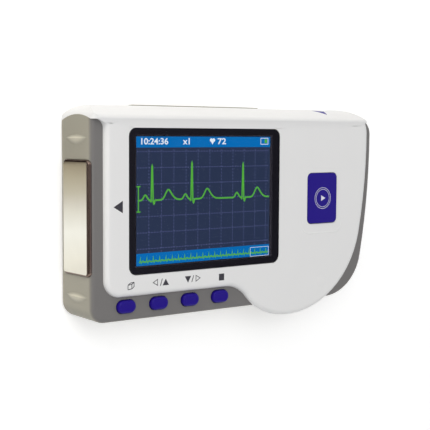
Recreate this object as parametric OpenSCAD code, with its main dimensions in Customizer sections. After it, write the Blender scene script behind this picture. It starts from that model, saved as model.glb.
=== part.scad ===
// Handheld home ECG monitor: a white L-shaped front cover over a grey case, a colour screen,
// four oval buttons, a measure key, bare metal electrodes on the two ends and a battery bay.
// The X axis runs to the right, Y to the roof and Z out of the screen. The flat back is Z = 0.
// Sizes called a reach are measured from the screen's centre.

/* [Case] */
// Reach to the left side, at the front of the grey case
left_reach = 45.3; // [45:0.1:48]
// Reach to the widest point of the right side
right_reach = 80.6; // [80:0.1:84]
// Reach to the straight bottom edge
bottom_reach = 39.9; // [39.6:0.1:42]
// From the window up to the crown of the arched roof
top_margin = 7.55; // [7.25:0.05:8.25]
// Radius of the bulging right side
side_r = 242; // [200:1:400]
// Height, over the screen's centre, at which the right side is widest
widest_y = 21; // [18:0.5:22]
// Radius of the large bottom right corner
big_corner_r = 18.5; // [16:0.5:21]
// Radius of the bottom left corner
left_corner_r = 5.5; // [3:0.25:6]
// Radius of the top right corner
top_corner_r = 6; // [4:0.25:8]
// Rounding of the grey case's front edge
case_edge_r = 1.6; // [0.6:0.1:1.6]
// Rounding of the back edge, all round
back_edge_r = 1.2; // [1:0.1:1.8]
// Draft of the two ends, wider towards the back
draft = 3.2; // [1:0.1:3.6]
// Taper of the bottom, narrower towards the back
bottom_taper = 1.5; // [0.5:0.25:2.5]
// Wall of the grey case
wall = 1.8; // [1.5:0.1:2.2]
// Front plate of the grey case, behind the white cover
plate_t = 1.5; // [1.2:0.1:1.7]
// Back cover's plate
back_t = 1.8; // [1.7:0.1:2.2]
// Gap between mouldings that are assembled
fit_gap = 0.15; // [0.1:0.05:0.25]

/* [Roof] */
// Front-to-back radius of the white roof
roof_r = 16.4; // [15.6:0.1:17.6]
// Front-to-back radius of the grey arch beneath it
arch_r = 22.9; // [20:0.1:26]
// White moulding over the grey arch at the crown
roof_t = 3.2; // [2.9:0.1:3.6]
// How far the roof stands proud of the front face
brow = 0.35; // [0.1:0.05:0.6]
// Rounding between the roof and the front face
brow_r = 1.6; // [1:0.1:2]
// Rounding of the roof's left end, seen from the front
roof_end_r = 4.5; // [3:0.1:5.5]
// Concave rounding between the roof and the white plate's left edge
roof_fillet_r = 3; // [2:0.1:3.5]
// Rounding of the roof's left end, seen from above
roof_front_r = 3; // [2:0.1:4]
// Rounding of the roof's back edge
roof_back_r = 3; // [1.6:0.1:3.6]

/* [Front cover] */
// White plate, which stands proud of the button strip by its thickness
cover_t = 2; // [1.9:0.1:2.4]
// Rounding of the white plate's edge
cover_edge_r = 1.8; // [1:0.1:1.8]
// Grey margin left of the white plate
left_margin = 4.5; // [3.5:0.1:6]
// Grey margin right of the white plate
right_margin = 3.5; // [3:0.1:5]
// Height of the grey button strip
strip_h = 8.3; // [8.2:0.1:9.5]
// Bottom left corner of the white plate
plate_corner_r = 6; // [4:0.25:8]
// Top right corner of the white plate and roof
plate_top_r = 9; // [7:0.25:11]
// Concave curve where the strip ends at the lobe
saddle_r = 12; // [9:0.5:16]
// Radius of the lobe that hangs below the case
lobe_r = 36; // [34.5:0.1:37]
// Tighter radius of the lobe's left shoulder
hip_r = 24; // [22:0.5:27]
// Direction from the lobe's centre in which the shoulder starts
hip_angle = 260; // [255:1:264]
// How far the lobe hangs below the grey bottom edge
lobe_drop = 4.6; // [3.5:0.1:5.5]
// Reach to the lobe's lowest point
lobe_x = 38.2; // [37:0.1:39.5]
// Depth over which the grey chin under the lobe tapers away
chin_depth = 11; // [8:0.5:14]
// Step from the lobe's edge back to the chin
chin_step = 0.6; // [0.3:0.1:1]

/* [Screen] */
// Window, width
window_w = 64; // [62:0.5:65]
// Window, height
window_h = 48.7; // [47:0.1:49]
// Window, corner radius
window_r = 2.8; // [2:0.1:4]
// Clear lens
lens_t = 1.2; // [0.9:0.1:1.3]
// Ledge around the window that carries the lens
ledge_w = 1.2; // [0.8:0.1:1.6]
// Black border beside the lit area
border_w = 3.2; // [2.8:0.1:4]
// Black border above and below the lit area
border_h = 2.75; // [2.4:0.05:3.5]
// Display module beyond the lit area, on each side
module_rim_w = 5.8; // [5.2:0.1:6.2]
// Display module beyond the lit area, above and below
module_rim_h = 3.4; // [3:0.1:3.6]
// Display module, depth
module_t = 2.7; // [2.4:0.1:2.9]
// Display glass beyond the lit area, on each side
glass_rim = 1.1; // [0.8:0.1:1.1]
// Gap between the display glass and the window
glass_gap = 0.1; // [0.05:0.05:0.3]
// How far the module's centre lies right of the lit area's centre
module_shift = 2.7; // [2:0.1:3]

/* [Buttons] */
// Oval button, width
button_w = 7.1; // [6.8:0.1:7.6]
// Oval button, height
button_h = 4.4; // [4.2:0.1:4.8]
// Distance between oval buttons
button_pitch = 12.9; // [12.4:0.1:13.2]
// From the case's left side to the first button's centre
first_button_inset = 13.1; // [12.5:0.1:13.5]
// From the white plate's lower edge down to the buttons' centres
button_drop = 3.3; // [3.1:0.1:3.6]
// How far the oval buttons stand proud of the strip
button_rise = 1.3; // [0.8:0.1:1.6]
// Travel of every button
travel = 0.35; // [0.2:0.05:0.4]
// Gap around each button
button_gap = 0.2; // [0.15:0.05:0.3]
// Flange that holds a button in the case
flange_w = 0.8; // [0.6:0.1:1]
// Thickness of that flange
flange_t = 0.6; // [0.5:0.1:0.7]
// Measure key, width
key_w = 14.5; // [13:0.1:16]
// Measure key, height
key_h = 18.9; // [17:0.1:20]
// Measure key, corner radius
key_r = 1.8; // [1:0.1:3]
// Measure key, how far it stands proud of the front face
key_rise = 0.4; // [0.2:0.1:0.8]
// Measure key, reach to the right
key_x = 53.15; // [52:0.05:55]
// Measure key, reach downwards
key_down = 1.45; // [0:0.05:3]
// Body of a tactile switch, across
switch_w = 4.5; // [4:0.1:5]
// Plunger of a tactile switch, radius
plunger_r = 1; // [0.8:0.1:1.2]
// Running clearance of a plunger in its switch
plunger_gap = 0.05; // [0.03:0.01:0.08]

/* [Electrodes] */
// Palm electrode on the left side, height
palm_h = 38.2; // [34:0.1:40]
// Palm electrode, depth along the side
palm_w = 15.6; // [14:0.1:16.4]
// Palm electrode, how far it stands proud
palm_proud = 0.9; // [0.8:0.1:1.4]
// Palm electrode, centre below the screen's centre
palm_down = 5.2; // [4:0.1:7]
// Palm electrode, corner radius
palm_r = 1.5; // [1:0.1:2.5]
// Palm electrode, rounding of its outer edge
palm_edge_r = 0.9; // [0.5:0.1:1.1]
// Finger electrodes on the right side, height of each
finger_h = 13; // [10:0.5:14]
// Finger electrodes, depth along the side
finger_w = 12; // [10:0.5:13]
// Gap between the two finger electrodes
finger_space = 4; // [3:0.5:6]
// Finger electrodes, how far they stand proud
finger_proud = 0.5; // [0.3:0.1:0.8]
// Seat of every electrode in the wall
seat_depth = 0.6; // [0.4:0.1:0.8]
// Stud that carries the signal through the wall, radius
stud_r = 0.8; // [0.6:0.1:1]
// How far a stud reaches inside the wall
stud_in = 1.2; // [1:0.1:1.5]
// From the board down to the studs
stud_drop = 5.2; // [4.5:0.1:6]
// Leaf spring between a stud and the board
leaf_t = 0.25; // [0.2:0.05:0.4]
// Grip ridges above and below the palm electrode, length
ridge_l = 13.6; // [12:0.2:14]
// From the palm electrode's ends to the crests of the grip ridges
ridge_gap = 7; // [6:0.1:7.5]
// Grip ridges, height of the steep upper face
ridge_up = 1.2; // [1:0.1:2]
// Grip ridges, height of the curved belly
ridge_down = 2.5; // [2:0.1:3.5]
// Grip ridges, how far they stand proud
ridge_proud = 0.9; // [0.5:0.1:1.1]

/* [Battery bay] */
// AAA cell, diameter
cell_d = 10.5; // [9.8:0.1:10.5]
// AAA cell, length with its button
cell_l = 44.5; // [43:0.1:44.5]
// Room for the coil spring, squeezed
spring_l = 4.5; // [4:0.1:5]
// Coil spring, radius at its foot
coil_r = 3.6; // [3.2:0.1:4]
// Coil spring, radius at its tip
coil_tip_r = 2.2; // [1.8:0.1:2.6]
// Wire of the coil spring, radius
wire_r = 0.3; // [0.25:0.05:0.35]
// Battery contact plate
contact_t = 0.4; // [0.3:0.05:0.5]
// Gap around each cell
cell_gap = 0.3; // [0.2:0.05:0.4]
// Roof of the tray, under the board
tray_roof = 0.8; // [0.6:0.1:1]
// Wall of the tray around the cells
tray_wall = 1; // [0.8:0.1:1.2]
// Battery door
door_t = 1.5; // [1.4:0.1:1.6]
// Overlap of the door on the back cover, on each side
door_ledge = 1.95; // [1.8:0.05:2.2]
// Reach to the door's centre
door_x = 2; // [0:0.5:3]
// Height of the door's lip over the roof
lip_proud = 0.3; // [0.1:0.05:0.5]
// Tongue along the door's sides, width
tongue_w = 0.8; // [0.5:0.1:0.9]
// Tongue along the door's sides, thickness
tongue_t = 0.7; // [0.5:0.1:0.8]

/* [Electronics] */
// Circuit board
board_t = 1; // [0.8:0.1:1]
// Air between the battery tray and the board
board_air = 0.5; // [0.4:0.1:0.8]
// Foam pad between display and board
pad_t = 0.5; // [0.4:0.1:0.6]
// Foam pad inside the module's ends
pad_inset_w = 2; // [1.5:0.1:3]
// Foam pad inside the module's upper and lower edges
pad_inset_h = 3; // [2.5:0.1:4]
// Width of the foam pad's band
pad_band = 4; // [3:0.5:5]
// Gap between the board and the case wall
board_gap = 0.8; // [0.5:0.1:1.2]
// Room between the battery tray and the chips
chip_room = 4.4; // [3:0.2:5]
// Processor, across
processor_w = 12; // [10:0.5:12.5]
// Memory chip, width
memory_w = 10; // [8:0.5:11]
// Memory chip, height
memory_h = 8; // [6:0.5:9]
// Converter chips, width
converter_w = 6; // [4.5:0.5:6.5]
// Converter chips, height
converter_h = 5; // [4:0.5:6.5]
// Thickness of the chips
chip_t = 1.2; // [0.8:0.1:1.4]
// Space between neighbouring chips
chip_space = 7; // [5:0.5:8]
// Chip capacitor, length
capacitor_l = 1.6; // [1.2:0.1:2]
// Chip capacitor, width and thickness
capacitor_w = 0.8; // [0.6:0.1:1]
// Distance between capacitors
capacitor_pitch = 5; // [3:0.5:5]
// Gap between a converter chip and the capacitors beside it
capacitor_gap = 2; // [1:0.1:2.5]
// Amplifier's shield can, width
shield_w = 21.5; // [18:0.5:22]
// Amplifier's shield can, height
shield_h = 8.5; // [7:0.5:9]
// Amplifier's shield can, depth
shield_d = 2.2; // [1.8:0.1:2.4]
// Metal of the shield can and of the socket
sheet_t = 0.3; // [0.2:0.05:0.4]
// Crystal, length
crystal_l = 8; // [6:0.5:9]
// Crystal, width
crystal_w = 3.4; // [3:0.1:3.8]
// Sound disc, radius
buzzer_r = 6; // [5:0.5:7]
// Sound disc, height
buzzer_h = 4.5; // [3.5:0.1:5]
// Sound disc, centre left of the case's right side
buzzer_inset = 20.6; // [18:0.2:22]
// Sound disc, reach downwards
buzzer_down = 12; // [10:0.5:14]
// Data and lead socket, width
socket_w = 7.8; // [7.4:0.1:8]
// Data and lead socket, length into the case
socket_l = 8.6; // [8:0.1:9]
// Data and lead socket, height
socket_h = 3.9; // [3.6:0.1:4]
// Data and lead socket, centre right of the case's left side
socket_inset = 37.3; // [36:0.1:39]
// Display ribbon, width
ribbon_w = 14; // [12:0.5:15]
// Display ribbon, centre left of the module's right end
ribbon_inset = 13.3; // [12.3:0.5:15.3]
// Display ribbon, thickness
ribbon_t = 0.2; // [0.15:0.05:0.25]
// Display ribbon, loop below the display
ribbon_loop = 1.6; // [1.2:0.1:1.8]
// Ribbon connector, length along the ribbon
connector_l = 3; // [2.5:0.1:3.2]
// Ribbon connector, height over the board
connector_t = 1.3; // [1.2:0.1:1.5]

/* [Screws] */
// Self-tapping screw, radius
screw_r = 0.95; // [0.8:0.05:1]
// Clearance of a screw in its boss
screw_gap = 0.05; // [0.03:0.01:0.08]
// Case screw, length under its head
case_screw_l = 8; // [6:0.5:9]
// Board screw, length into its post
board_screw_l = 1.6; // [1.2:0.1:1.7]
// Screw head, radius
head_r = 2; // [1.8:0.1:2.2]
// Screw head, height
head_h = 0.9; // [0.7:0.1:0.9]
// Arm of the cross recess, length
cross_l = 1.1; // [0.9:0.1:1.3]
// Arm of the cross recess, width
cross_w = 0.4; // [0.3:0.05:0.5]
// Boss for a back cover screw, radius
boss_r = 2.5; // [2.2:0.1:2.6]
// From the case's side to a boss's centre
boss_inset = 5.4; // [5:0.1:5.8]
// Post for a board screw, radius
post_r = 2.1; // [1.9:0.1:2.2]

/* [Hidden] */
$fn = 48;
facet_angle = 6;
edge_step = 22.5;
slop = 0.05;
far = 200;
ribbon_tuck = 0.9;

// Levels, counted from the back: cells, tray, board, display and front cover
cell_z = door_t + cell_gap + cell_d / 2;
bay_top_z = cell_z + cell_d / 2 + 2 * cell_gap;
tray_top = bay_top_z + tray_roof;
board_z = tray_top + board_air;
board_front = board_z + board_t;
module_z = board_front + pad_t;
module_top = module_z + module_t;
strip_z = module_top + 2 * slop;
case_depth = strip_z + cover_t;
plate_z = strip_z - plate_t;
glass_seat = module_t / 2;
flange_z = plate_z - slop - flange_t;
switch_top = flange_z - travel - slop;
key_flange_z = strip_z - slop - flange_t;
stud_z = board_z - stud_drop;

// Display
active_w = window_w - 2 * border_w;
active_h = window_h - 2 * border_h;
module_w = active_w + 2 * module_rim_w;
module_h = active_h + 2 * module_rim_h;

// Outlines
top_reach = window_h / 2 + top_margin;
arch_top = top_reach - roof_t;
plate_bottom = -bottom_reach + strip_h;
plate_left = -left_reach + left_margin;
plate_right = right_reach - right_margin;
lobe_c = [lobe_x, -bottom_reach - lobe_drop + lobe_r];
back_growth = strip_z * tan(draft);
mid_z = case_depth / 2;
arch_c = [arch_top - arch_r, mid_z];
roof_low = arch_c[0] + sqrt(pow(arch_r, 2) - pow(strip_z - mid_z, 2));
mouth_top = arch_c[0] + sqrt(pow(arch_r, 2) - pow(mid_z, 2)) - wall;

// Buttons
button_y = plate_bottom - button_drop;
button_x = [for (i = [0 : 3]) -left_reach + first_button_inset + i * button_pitch];
key_c = [key_x, -key_down];
switch_spots = concat([for (x = button_x) [x, button_y]], [key_c]);

// Battery bay
bay_l = cell_l + spring_l + 2 * contact_t + cell_gap;
bay_h = 2 * cell_d + 3 * cell_gap;
bay_top = mouth_top - fit_gap - tray_wall;
bay_bottom = bay_top - bay_h;
upper_y = bay_top - cell_gap - cell_d / 2;
lower_y = upper_y - cell_gap - cell_d;
bay_left = door_x - bay_l / 2;
bay_right = door_x + bay_l / 2;
door_w = bay_l + 2 * door_ledge;
door_bottom = bay_bottom - tray_wall - 1;
lip_z = mid_z + 1;

// Fasteners
case_bosses = [
    [-left_reach + boss_inset, mouth_top - boss_inset],
    [-left_reach + wall + boss_r, button_y + 1.3],
    [right_reach - 2 * boss_inset, mouth_top - boss_inset - boss_r],
    [lobe_x + 24.5, -bottom_reach + 2 * boss_inset]
];
post_x = module_w / 2 + post_r + 0.9;
board_posts = [
    [-left_reach + wall + 2 * post_r + 0.8, 11.5], [-left_reach + wall + 2 * post_r + 0.8, -17],
    [module_shift + post_x, 15.5], [module_shift + post_x, -20.5]
];

// Electrodes
palm_mid_z = strip_z - 0.4 - palm_w / 2;
ridge_mid_z = mid_z - 0.2;
// The grip ridges' ends run on by this under the skin of the side
ridge_root = 0.3;
finger_mid_y = widest_y - finger_h - finger_space / 2;
finger_mid_z = strip_z / 2;
finger_y = [
    finger_mid_y + (finger_h + finger_space) / 2,
    finger_mid_y - (finger_h + finger_space) / 2
];

// The finished model stands on its back with the middle of its box at X = 0, Y = 0
box_left = -left_reach - back_growth - palm_proud * cos(draft)
    + (palm_mid_z - palm_w / 2 + palm_edge_r) * sin(draft);
box_right = right_reach + (strip_z - finger_mid_z + finger_w / 2) * tan(draft) + finger_proud;
box_bottom = -bottom_reach - lobe_drop;
box_top = top_reach + lip_proud;
module placed() {
    translate([-(box_left + box_right) / 2, -(box_bottom + box_top) / 2, 0]) children();
}

// ---------- outlines made of arcs ----------

function arc(c, r, from, to) =
    let (turn = abs(to - from), steps = max(2, ceil(turn / facet_angle), ceil(turn * r / 400)))
    [for (i = [0 : steps]) c + r * [cos(from + (to - from) * i / steps),
                                    sin(from + (to - from) * i / steps)]];

// Rounded rectangle about a centre, counter-clockwise, moved inwards by d
function round_rect(c, w, h, r, d = 0) =
    let (x = w / 2 - r, y = h / 2 - r, q = max(r - d, 0.01))
    concat(
        arc(c + [x, y], q, 0, 90), arc(c + [-x, y], q, 90, 180),
        arc(c + [-x, -y], q, 180, 270), arc(c + [x, -y], q, 270, 360)
    );

// Centre of a corner of radius r that touches a big side circle from inside at height y
function corner_c(side_c, side, r, y) =
    [side_c[0] + sqrt(pow(side - r, 2) - pow(y - side_c[1], 2)), y];
function angle_of(v) = atan2(v[1], v[0]);

// Grey case, moved inwards by d, at a depth behind the button strip's face
function case_outline(d, depth) =
    let (
        left = -left_reach - depth * tan(draft),
        low = -bottom_reach + depth * tan(bottom_taper),
        side_c = [right_reach + depth * tan(draft) - side_r, widest_y],
        low_c = corner_c(side_c, side_r, big_corner_r, low + big_corner_r),
        high_c = corner_c(side_c, side_r, top_corner_r, arch_top - top_corner_r),
        low_a = angle_of(low_c - side_c),
        high_a = angle_of(high_c - side_c)
    )
    concat(
        arc([left + left_corner_r, low + left_corner_r], left_corner_r - d, 180, 270),
        arc(low_c, big_corner_r - d, -90, low_a),
        arc(side_c, side_r - d, low_a, high_a),
        arc(high_c, top_corner_r - d, high_a, 90),
        [[left + d, arch_top - d]]
    );

// Right side of the white plate: a circle that the lobe and the top corner both touch
plate_side_r = let (a = plate_right - lobe_c[0], b = widest_y - lobe_c[1])
    (a * a + b * b - lobe_r * lobe_r) / (2 * (a - lobe_r));
plate_side_c = [plate_right - plate_side_r, widest_y];
plate_top_c = corner_c(plate_side_c, plate_side_r, plate_top_r, top_reach - plate_top_r);
plate_low_a = angle_of(lobe_c - plate_side_c);
plate_high_a = angle_of(plate_top_c - plate_side_c);
hip_c = lobe_c + (lobe_r - hip_r) * [cos(hip_angle), sin(hip_angle)];

// White plate, moved inwards by d: strip edge, saddle, lobe, right side, top corner, roof end
// and the fillet where the roof meets the plate's left edge
function plate_outline(d) =
    let (
        saddle_y = plate_bottom - saddle_r,
        saddle_x = hip_c[0] - sqrt(pow(hip_r + saddle_r, 2) - pow(hip_c[1] - saddle_y, 2)),
        saddle_a = angle_of(hip_c - [saddle_x, saddle_y])
    )
    concat(
        arc([plate_left + plate_corner_r, plate_bottom + plate_corner_r],
            plate_corner_r - d, 180, 270),
        arc([saddle_x, saddle_y], saddle_r + d, 90, saddle_a),
        arc(hip_c, hip_r - d, 180 + saddle_a, hip_angle),
        arc(lobe_c, lobe_r - d, hip_angle, 360 + plate_low_a),
        arc(plate_side_c, plate_side_r - d, plate_low_a, plate_high_a),
        arc(plate_top_c, plate_top_r - d, plate_high_a, 90),
        [[-left_reach + roof_end_r + 1, top_reach - 1]],
        arc([plate_left - roof_fillet_r, roof_low - roof_fillet_r], roof_fillet_r + d, 90, 0)
    );

// Roof seen from the front, moved inwards by d: from the left end to the plate's top corner
function roof_outline(d, depth) =
    let (
        left = -left_reach - depth * tan(draft),
        low = arch_c[0],
        right = plate_side_c[0] + sqrt(pow(plate_side_r - d, 2) - pow(low - widest_y, 2))
    )
    concat(
        [[left + d, low], [right, low]],
        arc(plate_top_c, plate_top_r - d, plate_high_a, 90),
        arc([left + roof_end_r, top_reach - roof_end_r], roof_end_r - d, 90, 180)
    );

// Chin under the lobe, moved inwards by d and closed inside the case
function chin_outline(d) =
    concat(arc(hip_c, hip_r - d, 200, hip_angle), arc(lobe_c, lobe_r - d, hip_angle, 330));

// Levels of a slab with rounded bottom and top edges, as pairs of height and inset
function slab_levels(z0, z1, r0, r1, inset = 0) =
    let (bottom = r0 > 0 ? [0 : edge_step : 90] : [90], top = r1 > 0 ? [0 : edge_step : 90] : [0])
    concat(
        [for (a = bottom) [z0 + r0 * (1 - cos(a)), inset + r0 * (1 - sin(a))]],
        [for (a = top) [z1 - r1 * (1 - sin(a)), inset + r1 * (1 - cos(a))]]
    );

// Closed solid through a stack of outlines, each a function of its inset and its depth
// behind the button strip's face; its two ends are fans about a hub that sees the whole outline
module loft(outline, levels, hub) {
    rings = [for (level = levels) outline(level[1], strip_z - level[0])];
    n = len(rings[0]);
    last = len(levels) - 1;
    low_hub = (last + 1) * n;
    polyhedron(
        concat(
            [for (k = [0 : last]) for (p = rings[k]) [p[0], p[1], levels[k][0]]],
            [[hub[0], hub[1], levels[0][0]], [hub[0], hub[1], levels[last][0]]]
        ),
        concat(
            [for (i = [0 : n - 1]) [low_hub, i, (i + 1) % n]],
            [for (k = [0 : last - 1]) for (i = [0 : n - 1])
                [k * n + i, k * n + n + i, k * n + n + (i + 1) % n, k * n + (i + 1) % n]],
            [for (i = [0 : n - 1]) [low_hub + 1, last * n + (i + 1) % n, last * n + i]]
        )
    );
}

// A shape drawn with Y to the right and Z up, drawn out along X
module along_x(x0, x1) {
    translate([x0, 0, 0]) rotate([90, 0, 90]) linear_extrude(x1 - x0) children();
}

module slab(points, z0, z1) {
    translate([0, 0, z0]) linear_extrude(z1 - z0) polygon(points);
}

module block(x0, x1, y0, y1, z0, z1) {
    translate([x0, y0, z0]) cube([x1 - x0, y1 - y0, z1 - z0]);
}

module rod(c, r, z0, z1) {
    translate([c[0], c[1], z0]) cylinder(r = r, h = z1 - z0);
}

// ---------- white front cover ----------

// Section of the roof and front face; grow lifts the arch
module roof_section(grow = 0) {
    face = case_depth + brow;
    c = [top_reach - roof_r, face / 2];
    r = roof_r + grow;
    front_c = [c[0] + sqrt(pow(r - brow_r, 2) - pow(face / 2 - brow_r, 2)), face - brow_r];
    back_c = [c[0] + sqrt(pow(r - roof_back_r, 2) - pow(face / 2 - roof_back_r, 2)), roof_back_r];
    front_a = angle_of(front_c - c);
    back_a = angle_of(back_c - c);
    polygon(concat(
        [[-far, 0], [-far, case_depth], [min(roof_low, front_c[0] - 0.1), case_depth]],
        arc(front_c, brow_r, 90, front_a),
        arc(c, r, front_a, back_a),
        arc(back_c, roof_back_r, back_a, -90)
    ));
}

// Section of everything under the grey arch
module arch_section(grow = 0) {
    r = arch_r + grow;
    a = asin(mid_z / r);
    polygon(concat([[-far, 0], [-far, case_depth]], arc(arch_c, r, a, -a)));
}

module window_cut(grow, z0, z1) {
    slab(round_rect([0, 0], window_w + 2 * grow, window_h + 2 * grow, window_r + grow), z0, z1);
}

// Everything left of the roof's rounded front left corner, seen from above
module roof_plan() {
    face = case_depth + brow;
    corner = [-left_reach + roof_front_r, face - roof_front_r];
    translate([0, far, 0]) rotate([90, 0, 0]) linear_extrude(2 * far) polygon(concat(
        [[corner[0], face + 1]], arc(corner, roof_front_r, 90, 180),
        [[-far, corner[1]], [-far, face + 1]]
    ));
}

module front_cover() color([0.90, 0.90, 0.90]) placed() difference() {
    intersection() {
        union() {
            loft(function (d, depth) plate_outline(d),
                slab_levels(strip_z, case_depth, 0, min(cover_edge_r, cover_t - 0.1)),
                [lobe_x, roof_low + 1]);
            difference() {
                loft(function (d, depth) roof_outline(d, depth),
                    slab_levels(0, case_depth + brow, back_edge_r, 0), [lobe_x, widest_y]);
                intersection() {
                    along_x(-far, far) arch_section();
                    block(-far, far, -far, far, -1, strip_z);
                }
                block(-far, far, -far, roof_low, strip_z - 1, far);
            }
        }
        along_x(-far, far) roof_section();
    }
    roof_plan();
    window_cut(fit_gap, case_depth - lens_t, case_depth + 1);
    window_cut(-ledge_w, strip_z - 1, case_depth);
    slab(round_rect(key_c, key_w + 2 * button_gap, key_h + 2 * button_gap, key_r + button_gap),
        strip_z - 1, case_depth + 1);
    door_room();
}

// ---------- grey case ----------

// The case's body up to a height, moved inwards by inset; the outermost has rounded edges
module case_mass(inset, top_z) {
    loft(function (d, depth) case_outline(d, depth), inset > 0
        ? slab_levels(0, top_z, 0, 0, inset)
        : slab_levels(0, top_z, back_edge_r, case_edge_r), [lobe_x, 0]);
}

// Fairing that carries the overhanging lobe down to the case
module chin() {
    loft(function (d, depth) chin_outline(d),
        [[strip_z - chin_depth, lobe_drop + 1], [strip_z, chin_step]],
        [lobe_x, -bottom_reach + lobe_drop]);
}

// Left side's own frame: X out of the leaning side, Y up the case, Z along its depth
module on_left_side() {
    translate([-left_reach - back_growth, 0, 0]) rotate([0, draft, 0]) mirror([1, 0, 0]) children();
}

// Lens-shaped grip ridge: two spheres meet along its crest, one above and one below
module grip_ridge(crest_y) {
    reach = ridge_l / 2;
    crest_r = (pow(reach, 2) + pow(ridge_proud, 2)) / (2 * ridge_proud);
    sink = crest_r - ridge_proud;
    below = (pow(reach, 2) - pow(ridge_up, 2)) / (2 * ridge_up);
    above = (pow(reach, 2) - pow(ridge_down, 2)) / (2 * ridge_down);
    on_left_side() translate([-sink, crest_y, ridge_mid_z]) intersection() {
        translate([0, -below, 0]) sphere(r = norm([crest_r, below]), $fn = 240);
        translate([0, above, 0]) sphere(r = norm([crest_r, above]), $fn = 240);
        block(sink - wall / 2, crest_r + 1, -far, far, -reach - ridge_root, reach + ridge_root);
    }
}

module display_opening(grow) {
    slab(round_rect([module_shift, 0], module_w + 2 * grow, module_h + 2 * grow, 0.6),
        module_z - fit_gap, strip_z + 1);
}

module main_housing() color([0.50, 0.49, 0.46]) placed() {
    difference() {
        union() {
            intersection() {
                union() {
                    case_mass(0, strip_z);
                    chin();
                }
                along_x(-far, far) arch_section();
            }
            grip_ridge(palm_h / 2 - palm_down + ridge_gap);
            grip_ridge(-palm_h / 2 - palm_down - ridge_gap);
        }
        intersection() {
            translate([0, 0, -1]) case_mass(wall, plate_z + 1);
            block(-far, far, -far, mouth_top, -1, plate_z);
        }
        display_opening(fit_gap + 0.1);
        for (x = button_x) slab(button_outline([x, button_y], button_gap), plate_z - 1, strip_z + 1);
        slab(round_rect(key_c, key_w + 2 * flange_w + 4 * button_gap,
            key_h + 2 * flange_w + 4 * button_gap, key_r + flange_w), plate_z - 1, strip_z + 1);
        palm_seat();
        finger_seats();
        door_room();
        block(socket_x - socket_w / 2 - fit_gap, socket_x + socket_w / 2 + fit_gap, -far, 0,
            board_z - socket_h - fit_gap, board_z);
    }
    for (c = case_bosses) difference() {
        rod(c, boss_r, back_t + slop, plate_z + slop);
        rod(c, screw_r + screw_gap, back_t - 1, plate_z - 2);
    }
    for (c = board_posts) difference() {
        rod(c, post_r, board_front, plate_z + slop);
        rod(c, screw_r + screw_gap, board_front - 1, plate_z - slop);
    }
}

// ---------- back cover, battery tray and door ----------

module back_cover() color([0.47, 0.46, 0.44]) placed() difference() {
    union() {
        intersection() {
            translate([0, 0, -1]) case_mass(wall + fit_gap, back_t + 1);
            block(-far, far, -far, mouth_top - fit_gap, 0, back_t);
        }
        block(bay_left - tray_wall, bay_right + tray_wall, bay_bottom - tray_wall,
            bay_top + tray_wall, back_t - slop, tray_top);
        block(bay_left - door_ledge - tongue_w - 1, bay_right + door_ledge + tongue_w + 1,
            door_bottom - 1, bay_top + tray_wall, back_t - slop, back_t + 0.8);
    }
    block(bay_left, bay_right, bay_bottom, bay_top, -1, bay_top_z);
    for (x = [bay_left, bay_right - 3]) for (y = [lower_y, upper_y])
        block(x, x + 3, y - 1.5, y + 1.5, bay_top_z - 1, tray_top + 1);
    door_room();
    for (c = case_bosses) {
        rod(c, screw_r + 0.25, -1, back_t + 2);
        rod(c, head_r + 0.2, -1, head_h + 0.1);
    }
    for (a = [0 : 60 : 300]) rod(buzzer_c + 2.4 * [cos(a), sin(a)], 0.6, -1, back_t + 1);
    rod(buzzer_c, 0.6, -1, back_t + 1);
}

// Room for the door in the pieces that it slides through
module door_room() {
    side = door_w / 2 + fit_gap;
    block(door_x - side, door_x + side, door_bottom - fit_gap, far, -1, door_t + fit_gap);
    block(door_x - side - tongue_w, door_x + side + tongue_w, door_bottom - fit_gap, far,
        door_t - tongue_t - fit_gap, door_t + fit_gap);
    difference() {
        block(door_x - side, door_x + side, mouth_top, far, -1, lip_z + fit_gap);
        along_x(-far, far) translate([-door_t - fit_gap, 0]) roof_section();
    }
}

// Door: a flat panel with a tongue along each side and a lip that bends over the roof
module battery_door() color([0.52, 0.51, 0.47]) placed() {
    left = door_x - door_w / 2;
    right = door_x + door_w / 2;
    intersection() {
        union() {
            block(left, right, door_bottom, top_reach, 0, door_t);
            block(left - tongue_w, right + tongue_w, door_bottom, bay_top,
                door_t - tongue_t, door_t);
            difference() {
                block(left, right, mouth_top + door_t, top_reach + lip_proud, 0, lip_z);
                along_x(-far, far) translate([-door_t, 0]) roof_section();
            }
        }
        along_x(-far, far) roof_section(lip_proud);
    }
}

// ---------- window and display ----------

module window_lens() color([0.15, 0.15, 0.18, 0.4]) placed()
    window_cut(0, case_depth - lens_t + 0.1, case_depth);

module window_mask() color([0.08, 0.08, 0.09]) placed() difference() {
    window_cut(0, case_depth - lens_t, case_depth - lens_t + 0.1);
    block(-active_w / 2 - 0.5, active_w / 2 + 0.5, -active_h / 2 - 0.5, active_h / 2 + 0.5,
        strip_z, case_depth);
}

module display_panel() color([0.16, 0.21, 0.31]) placed()
    slab(round_rect([0, 0], active_w + 2 * glass_rim, active_h + 2 * glass_rim, 0.4),
        module_top - glass_seat, case_depth - lens_t - glass_gap);

module display_frame() color([0.75, 0.75, 0.75]) placed() difference() {
    slab(round_rect([module_shift, 0], module_w, module_h, 0.5), module_z, module_top);
    slab(round_rect([0, 0], active_w + 2 * glass_rim + fit_gap,
        active_h + 2 * glass_rim + fit_gap, 0.4), module_top - glass_seat, module_top + 1);
    block(ribbon_x - ribbon_w / 2 - 1, ribbon_x + ribbon_w / 2 + 1, -far,
        -module_h / 2 + ribbon_tuck + 0.1, module_z - 1, module_z + 4.5 * ribbon_t);
}

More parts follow.
